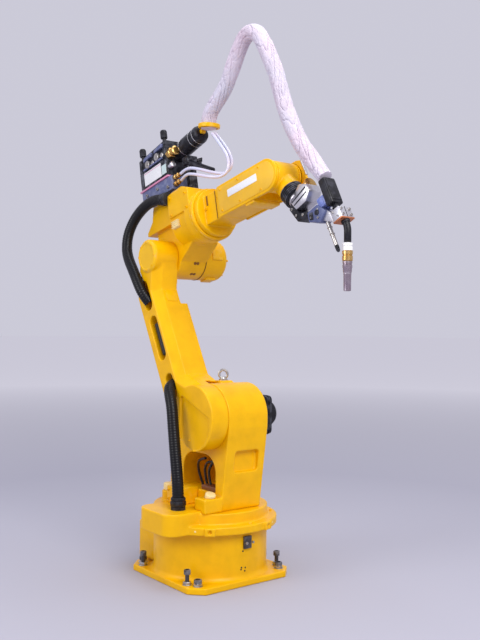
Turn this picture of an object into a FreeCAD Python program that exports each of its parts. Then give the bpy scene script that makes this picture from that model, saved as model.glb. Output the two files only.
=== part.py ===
import FreeCAD, Part
import math
import os

# Six-axis arc-welding robot arm with a wire feeder on its elbow, in millimetres.
# +X points forward, +Y to the robot's left, +Z up. The origin is on the swivel axis,
# at the bottom of the foot plate. Each section builds its pieces at the rest pose.

V = FreeCAD.Vector
AXIS_X = V(1, 0, 0)
AXIS_Y = V(0, 1, 0)
AXIS_Z = V(0, 0, 1)

# ---------------------------------------------------------------- driving dimensions
run_gap = 0.3            # between faces of bodies that turn on each other
bearing_gap = 0.5        # between the drum and the turntable
seat_gap = 0.3           # between a curved piece and what carries it

# foot plate and drum
plate_side = 410
plate_corner = 42
plate_thick = 20
drum_radius = 192
drum_foot_radius = 200
drum_foot_height = 12
drum_top = 173
anchor_half = 165        # floor bolts sit on a square of twice this side
anchor_hole_radius = 9
jack_x, jack_y = 133, 184
jack_hole_radius = 8
box_back = 236           # rear connector box
box_half_width = 140
box_floor, box_roof = 26, 150
stop_angle = 2           # stop block on the drum, seen from above, in degrees

# turntable
disc_radius = 225
disc_thick = 26
lobe_top = 243
lobe_front, lobe_back = 134, -62
lobe_side = -256
gland_x, gland_y = 66, -176
gland_radius, gland_height = 24, 40
boss_height = 36         # rear bumper boss

# shoulder column
shoulder_x, shoulder_z = 80, 535
column_right, column_left = -66, 95
head_radius = 110
column_front_low, column_back_low = 150, -150
arch_front, arch_back = 116, -70
arch_floor, arch_roof = 290, 410
pocket_depth = 16
eye_x, eye_y = 40, 20     # lifting eye and its pad, clear of the swinging arm
eye_pad = 24
motor_side = 130
motor_length = 54
motor_cap_radius, motor_cap_length = 43, 43

# lower arm
arm_length = 615
arm_lean = 28            # leans back at rest, in degrees
arm_outer = -132
arm_lobe_radius = 108
arm_tip_radius = 60
arm_tip_inner = -40
beam_back, beam_front = -124, -10
beam_inner = -12
beam_chamfer = 28
beam_end = 436
front_start, front_end = 160, 490
channel_end = 512
slot_middle = -72
slot_width = 44
slot_depth = 50
arm_clearance = 6        # between the thick part of the arm and the column head
dish_radius, dish_depth = 97, 9

# elbow and forearm, in the frame of the elbow joint with the forearm level
forearm_rise = 12.5      # rises forward at rest, in degrees
barrel_radius = 75
barrel_end = 171
barrel_split = 70
axis_height = 90         # forearm axis above the elbow axis
collar_radius = 91
collar_front = 240
elbow_side = 88          # faces of the elbow box
box_start, box_end = 95, 222
elbow_roof = 216
rear_side = 60
wrist_reach = 590        # from the elbow axis to the wrist axis
hub_radius = 84
fork_half_height = 52
fork_side = 60           # outer faces of the side covers
cover_thick = 10
fork_wall = 18           # fork arm with its cover
fork_start = 342
fork_gap_start = 520

# wire feeder, in the same frame
feeder_back, feeder_front = -108, 78
feeder_right, feeder_left = -60, 40
plate_low, plate_high = 226, 278
rail_height = 7
housing_height = 128
feed_height = 364        # where the wire leaves the feeder
feed_motor_end = 232
feed_motor_radius = 32
ring_x, ring_z = 272, 390
ring_radius, ring_height = 38, 14
ring_lean = 16           # the sleeve ring's axis leans forward, in degrees

# wrist and tool, in the frame of the wrist joint
flange_drop = 41         # the tool flange points down by this much, in degrees
housing_radius = 49
flange_cover_start, flange_cover_end = 75, 112
flange_radius = 39
torch_reach, torch_lift = 321, 68   # mouth of the torch clamp from the wrist axis
torch_lean = 27          # the torch body leans back from upright, in degrees
neck_radius = 10.5
neck_bend = 52
insulator_top, insulator_length = 1071, 23
brass_length, holder_length, nozzle_length = 29, 34, 50
nozzle_radius = 11
rod_offset = -61

# cords
conduit_diameter = 40
sleeve_diameter = 52
hose_diameter = 11
cable_diameter = 9

shapes = {}


# ---------------------------------------------------------------- helpers
def keep(name, shape):
    """Store a finished shape under the name of its node."""
    shapes[name] = shape


def block(x0, x1, y0, y1, z0, z1):
    """A box between two corners."""
    return Part.makeBox(x1 - x0, y1 - y0, z1 - z0, V(x0, y0, z0))


def rod_y(x, z, y0, y1, radius):
    """A cylinder along Y."""
    return Part.makeCylinder(radius, y1 - y0, V(x, y0, z), AXIS_Y)


def rod_z(x, y, z0, z1, radius):
    """A cylinder along Z."""
    return Part.makeCylinder(radius, z1 - z0, V(x, y, z0), AXIS_Z)


def rod_x(y, z, x0, x1, radius):
    """A cylinder along X."""
    return Part.makeCylinder(radius, x1 - x0, V(x0, y, z), AXIS_X)


def rod_between(start, end, radius):
    """A cylinder from one point to another."""
    return Part.makeCylinder(radius, (end - start).Length, start, end - start)


def prism_y(outline, y0, y1):
    """A prism along Y over an outline of (x, z) points."""
    points = [V(x, y0, z) for x, z in outline]
    face = Part.Face(Part.makePolygon(points + points[:1]))
    return face.extrude(V(0, y1 - y0, 0))


def prism_z(outline, z0, z1):
    """A prism along Z over an outline of (x, y) points."""
    points = [V(x, y, z0) for x, y in outline]
    face = Part.Face(Part.makePolygon(points + points[:1]))
    return face.extrude(V(0, 0, z1 - z0))


def prism_x(outline, x0, x1):
    """A prism along X over an outline of (y, z) points."""
    points = [V(x0, y, z) for y, z in outline]
    face = Part.Face(Part.makePolygon(points + points[:1]))
    return face.extrude(V(x1 - x0, 0, 0))


def capsule_y(start, end, radius, y0, y1):
    """A slot shape along Y between two (x, z) points."""
    (xa, za), (xb, zb) = start, end
    length = math.hypot(xb - xa, zb - za)
    side_x, side_z = -(zb - za) / length * radius, (xb - xa) / length * radius
    outline = [(xa + side_x, za + side_z), (xb + side_x, zb + side_z),
               (xb - side_x, zb - side_z), (xa - side_x, za - side_z)]
    ends = [rod_y(xa, za, y0, y1, radius), rod_y(xb, zb, y0, y1, radius)]
    return prism_y(outline, y0, y1).fuse(ends).removeSplitter()


def fuse(first, *others):
    """Join shapes into one solid."""
    return first.fuse(list(others)).removeSplitter()


def cut(first, *others):
    """Cut shapes out of the first."""
    return first.cut(list(others))


def rounded(shape, radius, wanted):
    """Fillet the edges that the test picks."""
    edges = [edge for edge in shape.Edges if wanted(edge)]
    return shape.makeFillet(radius, edges)


def along(edge, axis):
    """True for a straight edge that runs along an axis."""
    if not isinstance(edge.Curve, Part.Line):
        return False
    return abs(abs(edge.Curve.Direction.dot(axis)) - 1) < 1e-6


def group(*solids):
    """Separate solids that share a node."""
    return Part.makeCompound(list(solids))


def tube(route, radius, name):
    """A bent tube of straight runs joined by tangent arcs, as large as the runs allow."""
    points = [V(*point) for point in route]
    edges, radii = [], []
    start = points[0]
    for before, corner, after in zip(points, points[1:], points[2:]):
        incoming, outgoing = corner - before, after - corner
        turn = incoming.getAngle(outgoing)
        setback = 0.45 * min(incoming.Length, outgoing.Length)
        radii.append(setback / math.tan(turn / 2))
        incoming.normalize()
        outgoing.normalize()
        arc_start, arc_end = corner - incoming * setback, corner + outgoing * setback
        inward = (outgoing - incoming).normalize()
        reach = radii[-1] / math.cos(turn / 2) - radii[-1]
        edges.append(Part.LineSegment(start, arc_start).toShape())
        edges.append(Part.Arc(arc_start, corner + inward * reach, arc_end).toShape())
        start = arc_end
    edges.append(Part.LineSegment(start, points[-1]).toShape())
    path = Part.Wire(edges)
    profile = Part.Wire([Part.Circle(points[0], points[1] - points[0], radius).toShape()])
    solid = path.makePipeShell([profile], True, False)
    share = solid.Volume / (math.pi * radius ** 2 * path.Length)
    print(name, "length", round(path.Length), "least radius", round(min(radii)),
          "volume share", round(share, 3))
    return solid


def place_arm(shape):
    """Move a shape from the lower arm's frame: shoulder at the origin, arm upright."""
    shape = shape.copy()
    shape.rotate(V(0, 0, 0), AXIS_Y, -arm_lean)
    shape.translate(V(shoulder_x, 0, shoulder_z))
    return shape


elbow_x = shoulder_x - arm_length * math.sin(math.radians(arm_lean))
elbow_z = shoulder_z + arm_length * math.cos(math.radians(arm_lean))


def place_elbow(shape):
    """Move a shape from the elbow's frame: elbow axis at the origin, forearm level."""
    shape = shape.copy()
    shape.rotate(V(0, 0, 0), AXIS_Y, -forearm_rise)
    shape.translate(V(elbow_x, 0, elbow_z))
    return shape


def elbow_point(x, z):
    """Where a point of the elbow's frame lies at rest, as (x, z)."""
    turn = math.radians(forearm_rise)
    return (elbow_x + x * math.cos(turn) - z * math.sin(turn),
            elbow_z + x * math.sin(turn) + z * math.cos(turn))


wrist_x, wrist_z = elbow_point(wrist_reach, axis_height)


def place_wrist(shape):
    """Move a shape from the wrist's frame: wrist axis at the origin, flange axis along X."""
    shape = shape.copy()
    shape.rotate(V(0, 0, 0), AXIS_Y, flange_drop)
    shape.translate(V(wrist_x, 0, wrist_z))
    return shape


# ---------------------------------------------------------------- base
def corners(x, y):
    """The four mirrored places of a point on the foot plate."""
    return [(sx * x, sy * y) for sx in (-1, 1) for sy in (-1, 1)]


def bolt(x, y, hole_radius, ring_radius, ring_height, head_low, head_high):
    """A bolt through the foot plate with a washer or nut on it; heights above the plate."""
    shank = rod_z(x, y, 0, plate_thick + head_low, hole_radius - seat_gap)
    washer = rod_z(x, y, plate_thick, plate_thick + ring_height, ring_radius)
    return fuse(shank, washer, rod_z(x, y, plate_thick + head_low, plate_thick + head_high, 13.5))


def base():
    half, inner = plate_side / 2, plate_side / 2 - plate_corner
    outline = [(half, -inner), (half, inner), (inner, half), (-inner, half),
               (-half, inner), (-half, -inner), (-inner, -half), (inner, -half)]
    plate = prism_z(outline, 0, plate_thick)
    foot = Part.makeCone(drum_foot_radius, drum_radius, drum_foot_height, V(0, 0, plate_thick))
    drum = rod_z(0, 0, plate_thick, drum_top, drum_radius)
    casting = fuse(plate, foot, drum)
    holes = [rod_z(x, y, 0, plate_thick, anchor_hole_radius)
             for x, y in corners(anchor_half, anchor_half)]
    holes += [rod_z(x, y, 0, plate_thick, jack_hole_radius) for x, y in corners(jack_x, jack_y)]
    keep("base_casting", cut(casting, *holes))

    rear = block(-box_back, 0, -box_half_width, box_half_width, box_floor, box_roof)
    foot_top = plate_thick + drum_foot_height + seat_gap
    rear = cut(rear, rod_z(0, 0, box_floor, box_roof, drum_radius + seat_gap),
               rod_z(0, 0, box_floor, foot_top, drum_foot_radius + seat_gap))
    back_edge = 20 - box_back
    keep("connector_box", rounded(rear, 8, lambda e: along(e, AXIS_Z) and e.CenterOfMass.x < back_edge))

    block_depth = 9
    stopper = block(drum_radius - 2, drum_radius + block_depth, -15, 15, 118, 158)
    stopper = cut(stopper, rod_z(0, 0, 110, 170, drum_radius))
    stopper.rotate(V(0, 0, 0), AXIS_Z, stop_angle)
    keep("stop_block", stopper)

    keep("floor_bolts", group(*[bolt(x, y, anchor_hole_radius, 17, 4, 4, 28)
                                for x, y in corners(anchor_half, anchor_half)]))
    keep("jack_bolts", group(*[bolt(x, y, jack_hole_radius, 12.5, 14, 22, 48)
                               for x, y in corners(jack_x, jack_y)]))


# ---------------------------------------------------------------- swivel
def turntable():
    low = drum_top + bearing_gap
    disc = rod_z(0, 0, low, low + disc_thick, disc_radius)
    lobe = block(lobe_back, lobe_front, lobe_side, -60, low, lobe_top)
    lobe = rounded(lobe, 45, lambda e: along(e, AXIS_Z) and e.CenterOfMass.y < lobe_side + 50)
    floor = low + disc_thick + 36
    plinth = rod_z(0, 0, low + disc_thick, floor, disc_radius - 32)
    boss = rod_z(-105, -100, floor, floor + boss_height, 24)
    lugs = []
    for angle in (-36, 19):
        lug = block(disc_radius - 20, disc_radius + 9, -17, 17, low, low + disc_thick)
        lug = cut(lug, rod_x(0, low + disc_thick / 2, disc_radius - 4, disc_radius + 9, 6))
        lug.rotate(V(0, 0, 0), AXIS_Z, angle)
        lugs.append(lug)
    keep("turntable", fuse(disc, lobe, plinth, boss, *lugs))
    return floor


def column(floor):
    head = rod_y(shoulder_x, shoulder_z, column_right, column_left, head_radius)
    outline = [(column_back_low, floor), (column_front_low, floor),
               (shoulder_x + head_radius - 1, shoulder_z - 30), (shoulder_x + head_radius, shoulder_z),
               (shoulder_x, shoulder_z), (shoulder_x - head_radius + 6, shoulder_z + 10),
               (column_back_low, arch_roof - 20)]
    web = prism_y(outline, column_right, column_left)
    arch_radius = 60
    arch_left = column_left - 24
    arch = prism_y([(arch_back, arch_floor), (arch_front, arch_floor),
                    (arch_front, arch_roof - arch_radius), (arch_front - arch_radius, arch_roof),
                    (arch_back + arch_radius, arch_roof), (arch_back, arch_roof - arch_radius)],
                   column_right, arch_left)
    crown = [rod_y(x, arch_roof - arch_radius, column_right, arch_left, arch_radius)
             for x in (arch_front - arch_radius, arch_back + arch_radius)]
    lug = block(96, 156, -134, column_right, floor, 282)
    pad_top = shoulder_z + head_radius + 6
    pad = block(eye_x - eye_pad, eye_x + eye_pad, eye_y - eye_pad, eye_y + eye_pad, shoulder_z, pad_top)
    body = cut(fuse(head, web, lug, pad), fuse(arch, *crown))
    slope = (head_radius + shoulder_x - column_front_low) / (shoulder_z - floor)
    front_x = column_front_low + slope * (395 - floor)
    pocket = block(front_x - pocket_depth, front_x + 40, -30, 68, 360, 430)
    pocket = rounded(pocket, 12, lambda e: along(e, AXIS_X))
    keep("shoulder_column", cut(body, pocket, shapes["turntable"]))

    half = motor_side / 2
    motor = block(shoulder_x - half, shoulder_x + half, column_left, column_left + motor_length,
                  shoulder_z - half, shoulder_z + half)
    motor = motor.makeChamfer(14, [edge for edge in motor.Edges if along(edge, AXIS_Y)])
    cap_start = column_left + motor_length
    cap = rod_y(shoulder_x, shoulder_z, cap_start, cap_start + motor_cap_length, motor_cap_radius)
    keep("shoulder_motor", fuse(motor, cap))

    ring = Part.makeTorus(14, 4.5, V(eye_x, eye_y, pad_top + 21), V(0.75, -0.66, 0))
    stem = rod_z(eye_x, eye_y, pad_top, pad_top + 8, 9)
    keep("lifting_eye", fuse(ring, stem))

    nose = Part.makeCylinder(17, 22, V(132, -100, 276), V(0.35, 0, 1))
    nose = cut(nose, block(90, 160, -140, -60, 240, 282))
    cap = rod_z(-105, -100, floor + boss_height, floor + boss_height + 24, 19)
    keep("stop_bumpers", group(nose, cap))

    gland = rod_z(gland_x, gland_y, lobe_top, lobe_top + gland_height, gland_radius)
    bore = rod_z(gland_x, gland_y, lobe_top + 6, lobe_top + gland_height, conduit_diameter / 2 + 1)
    keep("conduit_gland", cut(gland, bore))
    keep("cable_block", block(-58, 20, -140, column_right - seat_gap, lobe_top, lobe_top + 55))
    keep("terminal_box", group(block(70, 108, arch_left - 50, arch_left, arch_floor, arch_floor + 82),
                               block(30, 112, column_right + 6, column_right + 46,
                                     arch_floor, arch_floor + 16)))


def column_cables():
    first = [(10, -20, arch_floor + 1), (2, -24, 326), (8, -30, 358), (34, -34, 382), (70, -32, 384)]
    second = [(-30, -10, arch_floor + 1), (-42, -18, 326), (-34, -30, 360), (-6, -42, 384), (34, -46, 392)]
    third = [(56, -40, arch_floor + 17), (50, -44, 334), (58, -48, 366), (84, -48, 388)]
    keep("column_cables", group(*[tube(route, cable_diameter / 2, "column cable")
                                  for route in (first, second, third)]))


# ---------------------------------------------------------------- lower arm
def lower_arm():
    lobe_inner = column_right - run_gap
    lobe = rod_y(0, 0, arm_outer, lobe_inner, arm_lobe_radius)
    tip = rod_y(0, arm_length, arm_outer, arm_tip_inner, arm_tip_radius)
    side = [(0, 0), (62, 88), (beam_front, front_start), (beam_front, front_end),
            (arm_tip_radius - 5, arm_length - 20), (-arm_tip_radius, arm_length - 3),
            (beam_back + 12, channel_end + 28), (beam_back, channel_end), (beam_back, 70),
            (-arm_lobe_radius + 3, 30)]
    plate = prism_y(side, arm_outer, arm_tip_inner)
    beam = prism_y([(beam_front, front_start), (beam_front, beam_end), (beam_back, beam_end),
                    (beam_back, 70), (62, 70)], arm_tip_inner, beam_inner)
    clear = head_radius + arm_clearance
    hollow = fuse(rod_y(0, 0, lobe_inner, beam_inner, clear),
                  block(-2 * clear, 2 * clear, lobe_inner, beam_inner, -clear, clear))
    arm = cut(fuse(plate, tip, beam, lobe), hollow)
    front = [edge for edge in arm.Edges if isinstance(edge.Curve, Part.Line)
             and abs(edge.CenterOfMass.y - arm_outer) < 0.1 and edge.CenterOfMass.x > -20
             and edge.Length > 40]
    arm = arm.makeChamfer(beam_chamfer, front)

    half = slot_width / 2
    deep = arm_outer + slot_depth
    slots = [capsule_y((slot_middle, low), (slot_middle, high), half, arm_outer, deep)
             for low, high in ((116, 170), (268, 391), (462, 530))]
    arm = place_arm(cut(arm, *slots))
    dish = rod_y(shoulder_x - 8, shoulder_z - 10, arm_outer, arm_outer + dish_depth, dish_radius)
    flat = prism_y([(-76, -120), (120, -120), (120, -8), (-76, 72)], arm_outer, arm_outer + dish_depth)
    flat.translate(V(shoulder_x, 0, shoulder_z))
    mouths = [tube(route[-5:], conduit_diameter / 2 + 1.5, "conduit mouth")
              for route in (lower_conduit_route, upper_conduit_route)]
    keep("lower_arm_casting", cut(arm, dish.common(flat), *mouths))

    cover = Part.makeCone(arm_tip_radius - 8, arm_tip_radius - 3, 5, V(0, arm_outer - 5, arm_length), AXIS_Y)
    keep("elbow_side_cover", place_arm(cover))

    bundle = [capsule_y((slot_middle + shift, 274), (slot_middle + shift, 385), 6, y0, y0 + 12)
              for shift, y0 in ((-8, deep - 12.3), (4.3, deep - 12.3), (-2, deep - 24.6),
                                (-10, deep - 36.9), (2.3, deep - 36.9))]
    keep("arm_cables", place_arm(group(*bundle)))


# ---------------------------------------------------------------- elbow
def elbow():
    barrel_start = arm_tip_inner + run_gap
    barrel = rod_y(0, 0, barrel_start, barrel_split, barrel_radius)
    root = prism_y([(-72, 20), (-58, 110), (box_start, 120), (150, 120), (150, 14), (66, -32)],
                   barrel_start, barrel_split)
    neck = rod_x(0, axis_height, box_start, box_end, collar_radius - 9)
    profile = prism_y([(box_start, 110), (box_start, 206), (150, elbow_roof), (box_end, 184),
                       (box_end, 110)], -elbow_side, elbow_side)
    across = prism_x([(-elbow_side, 100), (-elbow_side, 192), (-60, elbow_roof), (60, elbow_roof),
                      (elbow_side, 192), (elbow_side, 100)], box_start, box_end)
    rear = prism_y([(-95, 105), (box_start, 105), (box_start, 200), (-40, 200), (-56, 150),
                    (-95, 118)], -rear_side, rear_side)
    collar = rod_x(0, axis_height, 190, collar_front, collar_radius)
    casting = fuse(barrel, root, neck, profile.common(across), rear, collar)
    keep("elbow_casting", place_elbow(casting))

    cover = rod_y(0, 0, barrel_split, barrel_end, barrel_radius)
    cover = rounded(cover, 22, lambda e: abs(e.CenterOfMass.y - barrel_end) < 1e-6)
    keep("elbow_motor_cover", place_elbow(cover))
    stopper = block(108, 148, -elbow_side - 1, barrel_start, 66, 98)
    keep("elbow_stopper", place_elbow(cut(stopper, casting)))
    fitting = rod_x(-84, 0, -26, 20, conduit_diameter / 2 + 3)
    fitting.rotate(V(0, 0, 0), AXIS_Y, forearm_rise)
    fitting.translate(V(box_start, 0, 186))
    keep("conduit_fitting", place_elbow(cut(fitting, casting)))


# ---------------------------------------------------------------- wire feeder
def feeder():
    bracket = block(-36, box_start - 5, feeder_right + 14, 50, 200, plate_low)
    plate = block(feeder_back + 4, feeder_front + 20, feeder_right, feeder_left, plate_low, plate_high)
    keep("feeder_base_plate", place_elbow(fuse(bracket, plate)))
    floor = plate_high + rail_height
    keep("feeder_rail", place_elbow(block(feeder_back - 2, feeder_front + 4, feeder_right - 4, feeder_left,
                                          plate_high, floor)))
    roof = floor + housing_height
    body = prism_y([(feeder_back, floor), (feeder_front, floor), (feeder_front, roof + 8),
                    (feeder_back, roof - 8)], feeder_right, feeder_left)
    keep("feeder_housing", place_elbow(body))
    rolls = [rod_y(x, z, feeder_right - 12, feeder_right, 14) for x, z in ((-36, 366), (28, 371))]
    keep("drive_rolls", place_elbow(group(*rolls)))
    slope = 16 / (feeder_front - feeder_back)
    knobs = []
    for x in (feeder_back + 15, feeder_front - 20):
        seat = roof - 8 + slope * (x + 12 - feeder_back)
        knobs.append(fuse(rod_z(x, -44, seat, seat + 16, 7), rod_z(x, -44, seat + 12, seat + 46, 12)))
    keep("pressure_knobs", place_elbow(cut(group(*knobs), body)))
    keep("feeder_label", place_elbow(block(-75, 40, feeder_right - 1, feeder_right, 295, 345)))

    motor_low, motor_high = V(feeder_front, -2, feed_height + 10), V(feed_motor_end, -2, ring_z)
    ends = [block(0, feeder_front + seat_gap, -80, 80, 200, 500),
            block(feed_motor_end, 300, -80, 80, 200, 500)]
    motor = cut(rod_between(motor_low, motor_high, feed_motor_radius), *ends)
    keep("feeder_motor", place_elbow(motor))
    around = rod_between(motor_low, motor_high, feed_motor_radius + seat_gap)
    coupling = rod_x(-44, feed_height, feeder_front, feeder_front + 46, 17)
    fittings = [rod_x(-46, z, feeder_front + 20, feeder_front + 60, 9) for z in (268, 244)]
    keep("brass_fittings", place_elbow(group(cut(coupling, around), *fittings)))

    post = block(box_start + 30, box_start + 55, -16, 16, elbow_roof, feed_height - 5)
    bar = rod_between(V(box_start + 35, -16, 322), V(238, 22, 250), 11)
    knob = rod_z(190, 5, 280, 312, 9)
    stand = cut(fuse(post, bar, knob), around)
    keep("feeder_stand", place_elbow(stand))

    start = V(ring_x, 0, ring_z)
    lean = math.radians(ring_lean)
    axis = V(math.sin(lean), 0, math.cos(lean))
    bore = sleeve_diameter / 2 + 4
    ring = Part.makeCylinder(ring_radius, ring_height, start, axis)
    tab = block(feed_motor_end, ring_x - bore, -12, 8, ring_z - 4, ring_z + 10)
    ring = cut(fuse(ring, tab), Part.makeCylinder(bore, 60, start - axis * 20, axis))
    keep("sleeve_ring", place_elbow(ring))


# ---------------------------------------------------------------- forearm
def fork_outline(grow):
    """Side outline of the forearm in the elbow's frame, made larger by grow."""
    low, high = axis_height - fork_half_height - grow, axis_height + fork_half_height + grow
    bar = [(fork_start - grow, low), (wrist_reach, low), (wrist_reach, high), (fork_start - grow, high)]
    return bar, fork_half_height + grow


def side_plate(y0, y1, grow):
    """A flat bar with a round front end, between two planes across Y."""
    bar, radius = fork_outline(grow)
    return fuse(prism_y(bar, y0, y1), rod_y(wrist_reach, axis_height, y0, y1, radius))


def forearm():
    inner = fork_side - cover_thick
    hub = rod_x(0, axis_height, collar_front + run_gap, collar_front + 20, hub_radius)
    root = block(collar_front + 20, fork_start + 6, -inner, inner, axis_height - 50, axis_height + 50)
    body = side_plate(-inner, inner, -3)
    gap = block(fork_gap_start, 700, -fork_side + fork_wall, fork_side - fork_wall, 0, 200)
    keep("forearm_casting", place_elbow(fuse(cut(body, gap), hub, root)))
    keep("forearm_cover_right", place_elbow(side_plate(-fork_side, -inner, 0)))
    low, high = axis_height - fork_half_height, axis_height + fork_half_height
    nose = prism_y([(wrist_reach - 60, low), (wrist_reach + 77, low + 3), (wrist_reach + 49, high - 5),
                    (wrist_reach + 30, high), (wrist_reach - 60, high)], inner, fork_side)
    keep("forearm_cover_left", place_elbow(fuse(side_plate(inner, fork_side, 0), nose)))
    label = block(402, 553, -fork_side - 1, -fork_side, axis_height - 3, axis_height + 21)
    keep("forearm_label", place_elbow(label))
    plate = prism_y([(wrist_reach + 49, high - 5), (wrist_reach + 65, high - 60), (wrist_reach + 69, high - 59),
                     (wrist_reach + 53, high - 4)], inner, fork_side)
    keep("fork_plate", place_elbow(cut(plate, nose)))


# ---------------------------------------------------------------- wrist
def wrist():
    half = fork_side - fork_wall - run_gap
    housing = rod_y(0, 0, -half, half, housing_radius)
    nose = rod_x(0, 0, 0, flange_cover_start, 36)
    keep("wrist_housing", place_wrist(fuse(housing, nose)))
    cover = rod_x(0, 0, flange_cover_start, flange_cover_end, flange_radius)
    keep("wrist_flange_cover", place_wrist(cover))


# ---------------------------------------------------------------- torch
turn = math.radians(flange_drop)
mouth_x = wrist_x + torch_reach * math.cos(turn) + torch_lift * math.sin(turn)
mouth_z = wrist_z - torch_reach * math.sin(turn) + torch_lift * math.cos(turn)


def place_torch(shape):
    """Move a shape from the torch's frame: clamp mouth at the origin, torch body along Z."""
    shape = shape.copy()
    shape.rotate(V(0, 0, 0), AXIS_Y, -torch_lean)
    shape.translate(V(mouth_x, 0, mouth_z))
    return shape


def torch():
    start = flange_cover_end + run_gap
    adaptor = fuse(rod_x(0, 0, start, start + 10, 30),
                   prism_y([(start + 2, -14), (start + 2, 50), (140, 68), (164, 62), (174, 30), (156, -14)],
                           -26, 26))
    keep("tool_adaptor", place_wrist(adaptor))
    bracket = prism_y([(start + 12, -14 - seat_gap), (start + 16, -34), (184, -38), (204, 0), (196, 10),
                       (172, -14 - seat_gap)], -24, 24)
    keep("torch_bracket", place_wrist(bracket))
    breakaway = place_wrist(cut(prism_y([(196, 4), (222, -12), (262, 16), (256, 54), (214, 46)], -22, 22),
                                bracket))
    keep("breakaway_block", breakaway)

    body = block(-22, 14, -25, 25, 0, 38)
    arm = prism_y([(-22, 4), (-22, 38), (-50, 72), (-76, 48)], -15, 15)
    clamp = place_torch(cut(fuse(body, arm), rod_z(0, 0, 0, 10, neck_radius + seat_gap)))
    keep("torch_clamp", cut(clamp, breakaway))
    cable = rod_z(-14, 0, 38, 62, 9)
    keep("cable_cover", place_torch(fuse(cable, block(-28, 0, -24, 24, 62, 146))))
    sensor = place_torch(block(-62, -28 - seat_gap, -18, 18, 74, 106))
    keep("sensor_block", cut(sensor, breakaway))
    keep("blow_rod", cut(place_torch(rod_z(rod_offset, 0, -64, 42, 6)), clamp, breakaway))


def torch_neck():
    lean = math.radians(torch_lean)
    down = V(math.sin(lean), 0, -math.cos(lean))
    start = V(mouth_x, 0, mouth_z)
    bend_start = start + down * 10
    centre = bend_start + V(-math.cos(lean), 0, -math.sin(lean)) * neck_bend
    middle = centre + V(math.cos(lean / 2), 0, math.sin(lean / 2)) * neck_bend
    bend_end = centre + V(neck_bend, 0, 0)
    tip = V(bend_end.x, 0, insulator_top)
    path = Part.Wire([Part.LineSegment(start, bend_start).toShape(),
                      Part.Arc(bend_start, middle, bend_end).toShape(),
                      Part.LineSegment(bend_end, tip).toShape()])
    profile = Part.Wire([Part.Circle(start, down, neck_radius).toShape()])
    keep("torch_neck", path.makePipeShell([profile], True, False))

    top = insulator_top
    for name, length, radius in (("torch_insulator", insulator_length, 14.5),
                                 ("torch_body", brass_length, 15),
                                 ("nozzle_holder", holder_length, 14),
                                 ("gas_nozzle", nozzle_length, nozzle_radius)):
        piece = rod_z(bend_end.x, 0, top - length, top, radius)
        if name == "gas_nozzle":
            piece = cut(piece, rod_z(bend_end.x, 0, top - length, top - 12, nozzle_radius - 2.5))
        keep(name, piece)
        top -= length


# ---------------------------------------------------------------- cords
lower_conduit_route = [(66, -176, 250), (66, -177, 312), (52, -175, 380), (36, -172, 448),
                       (20, -168, 514), (4, -163, 572), (-24, -155, 612), (-47, -138, 633),
                       (-54, -112, 640)]
upper_conduit_route = [(-186, -84, 1280), (-220, -86, 1284), (-262, -90, 1280), (-312, -96, 1258),
                       (-358, -104, 1218), (-380, -114, 1166), (-370, -124, 1112), (-334, -134, 1070),
                       (-288, -142, 1030), (-248, -147, 986), (-220, -143, 944), (-207, -124, 916)]
hose_routes = [[(139.5, -46, 268), (178, -46, 276), (236, -38, 250), (290, -24, 218), (340, -8, 196),
                (372, 2, 216), (360, 6, 266), (324, 8, 320), (292, 8, 366)],
               [(139.5, -46, 244), (176, -52, 252), (228, -54, 232), (282, -42, 204), (330, -24, 186),
                (364, -14, 196), (370, -10, 240), (338, -8, 296), (296, -8, 360)]]
sleeve_routes = {
    "sleeve_rise": [(-30, 0, 1516), (-31, 0, 1558), (18, 0, 1602), (70, 0, 1640), (104, 0, 1692),
                    (137, 0, 1748), (158, 0, 1768)],
    "sleeve_crest": [(158, 0, 1768), (179, 0, 1788), (228, 0, 1782), (264, 0, 1740), (292, 0, 1694),
                     (320, 0, 1646), (338, 0, 1600), (347, 0, 1576)],
    "sleeve_drop": [(347, 0, 1576), (356, 0, 1552), (382, 0, 1492), (408, 0, 1444), (438, 0, 1396),
                    (470, 0, 1356), (508, 0, 1312), (536, 0, 1282), (552, 0, 1266)],
}


def cords():
    keep("lower_conduit", tube(lower_conduit_route, conduit_diameter / 2, "lower conduit"))
    keep("upper_conduit", tube(upper_conduit_route, conduit_diameter / 2, "upper conduit"))
    keep("feeder_hoses", place_elbow(group(*[tube(route, hose_diameter / 2, "feeder hose")
                                             for route in hose_routes])))
    for name, route in sleeve_routes.items():
        keep(name, tube(route, sleeve_diameter / 2, name))


base()
table_top = turntable()
column(table_top)
column_cables()
lower_arm()
elbow()
feeder()
forearm()
wrist()
torch()
torch_neck()
cords()

os.makedirs("parts", exist_ok=True)
for node, shape in shapes.items():
    shape.exportStep("parts/" + node + ".step")
    print(node, "solids", len(shape.Solids), "valid", shape.isValid(), "volume", round(shape.Volume / 1000))
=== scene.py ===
import logging
import math
from dataclasses import dataclass
from enum import Enum
from typing import Callable, Sequence

import bmesh
import bpy
from mathutils import Matrix, Vector, noise


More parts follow.
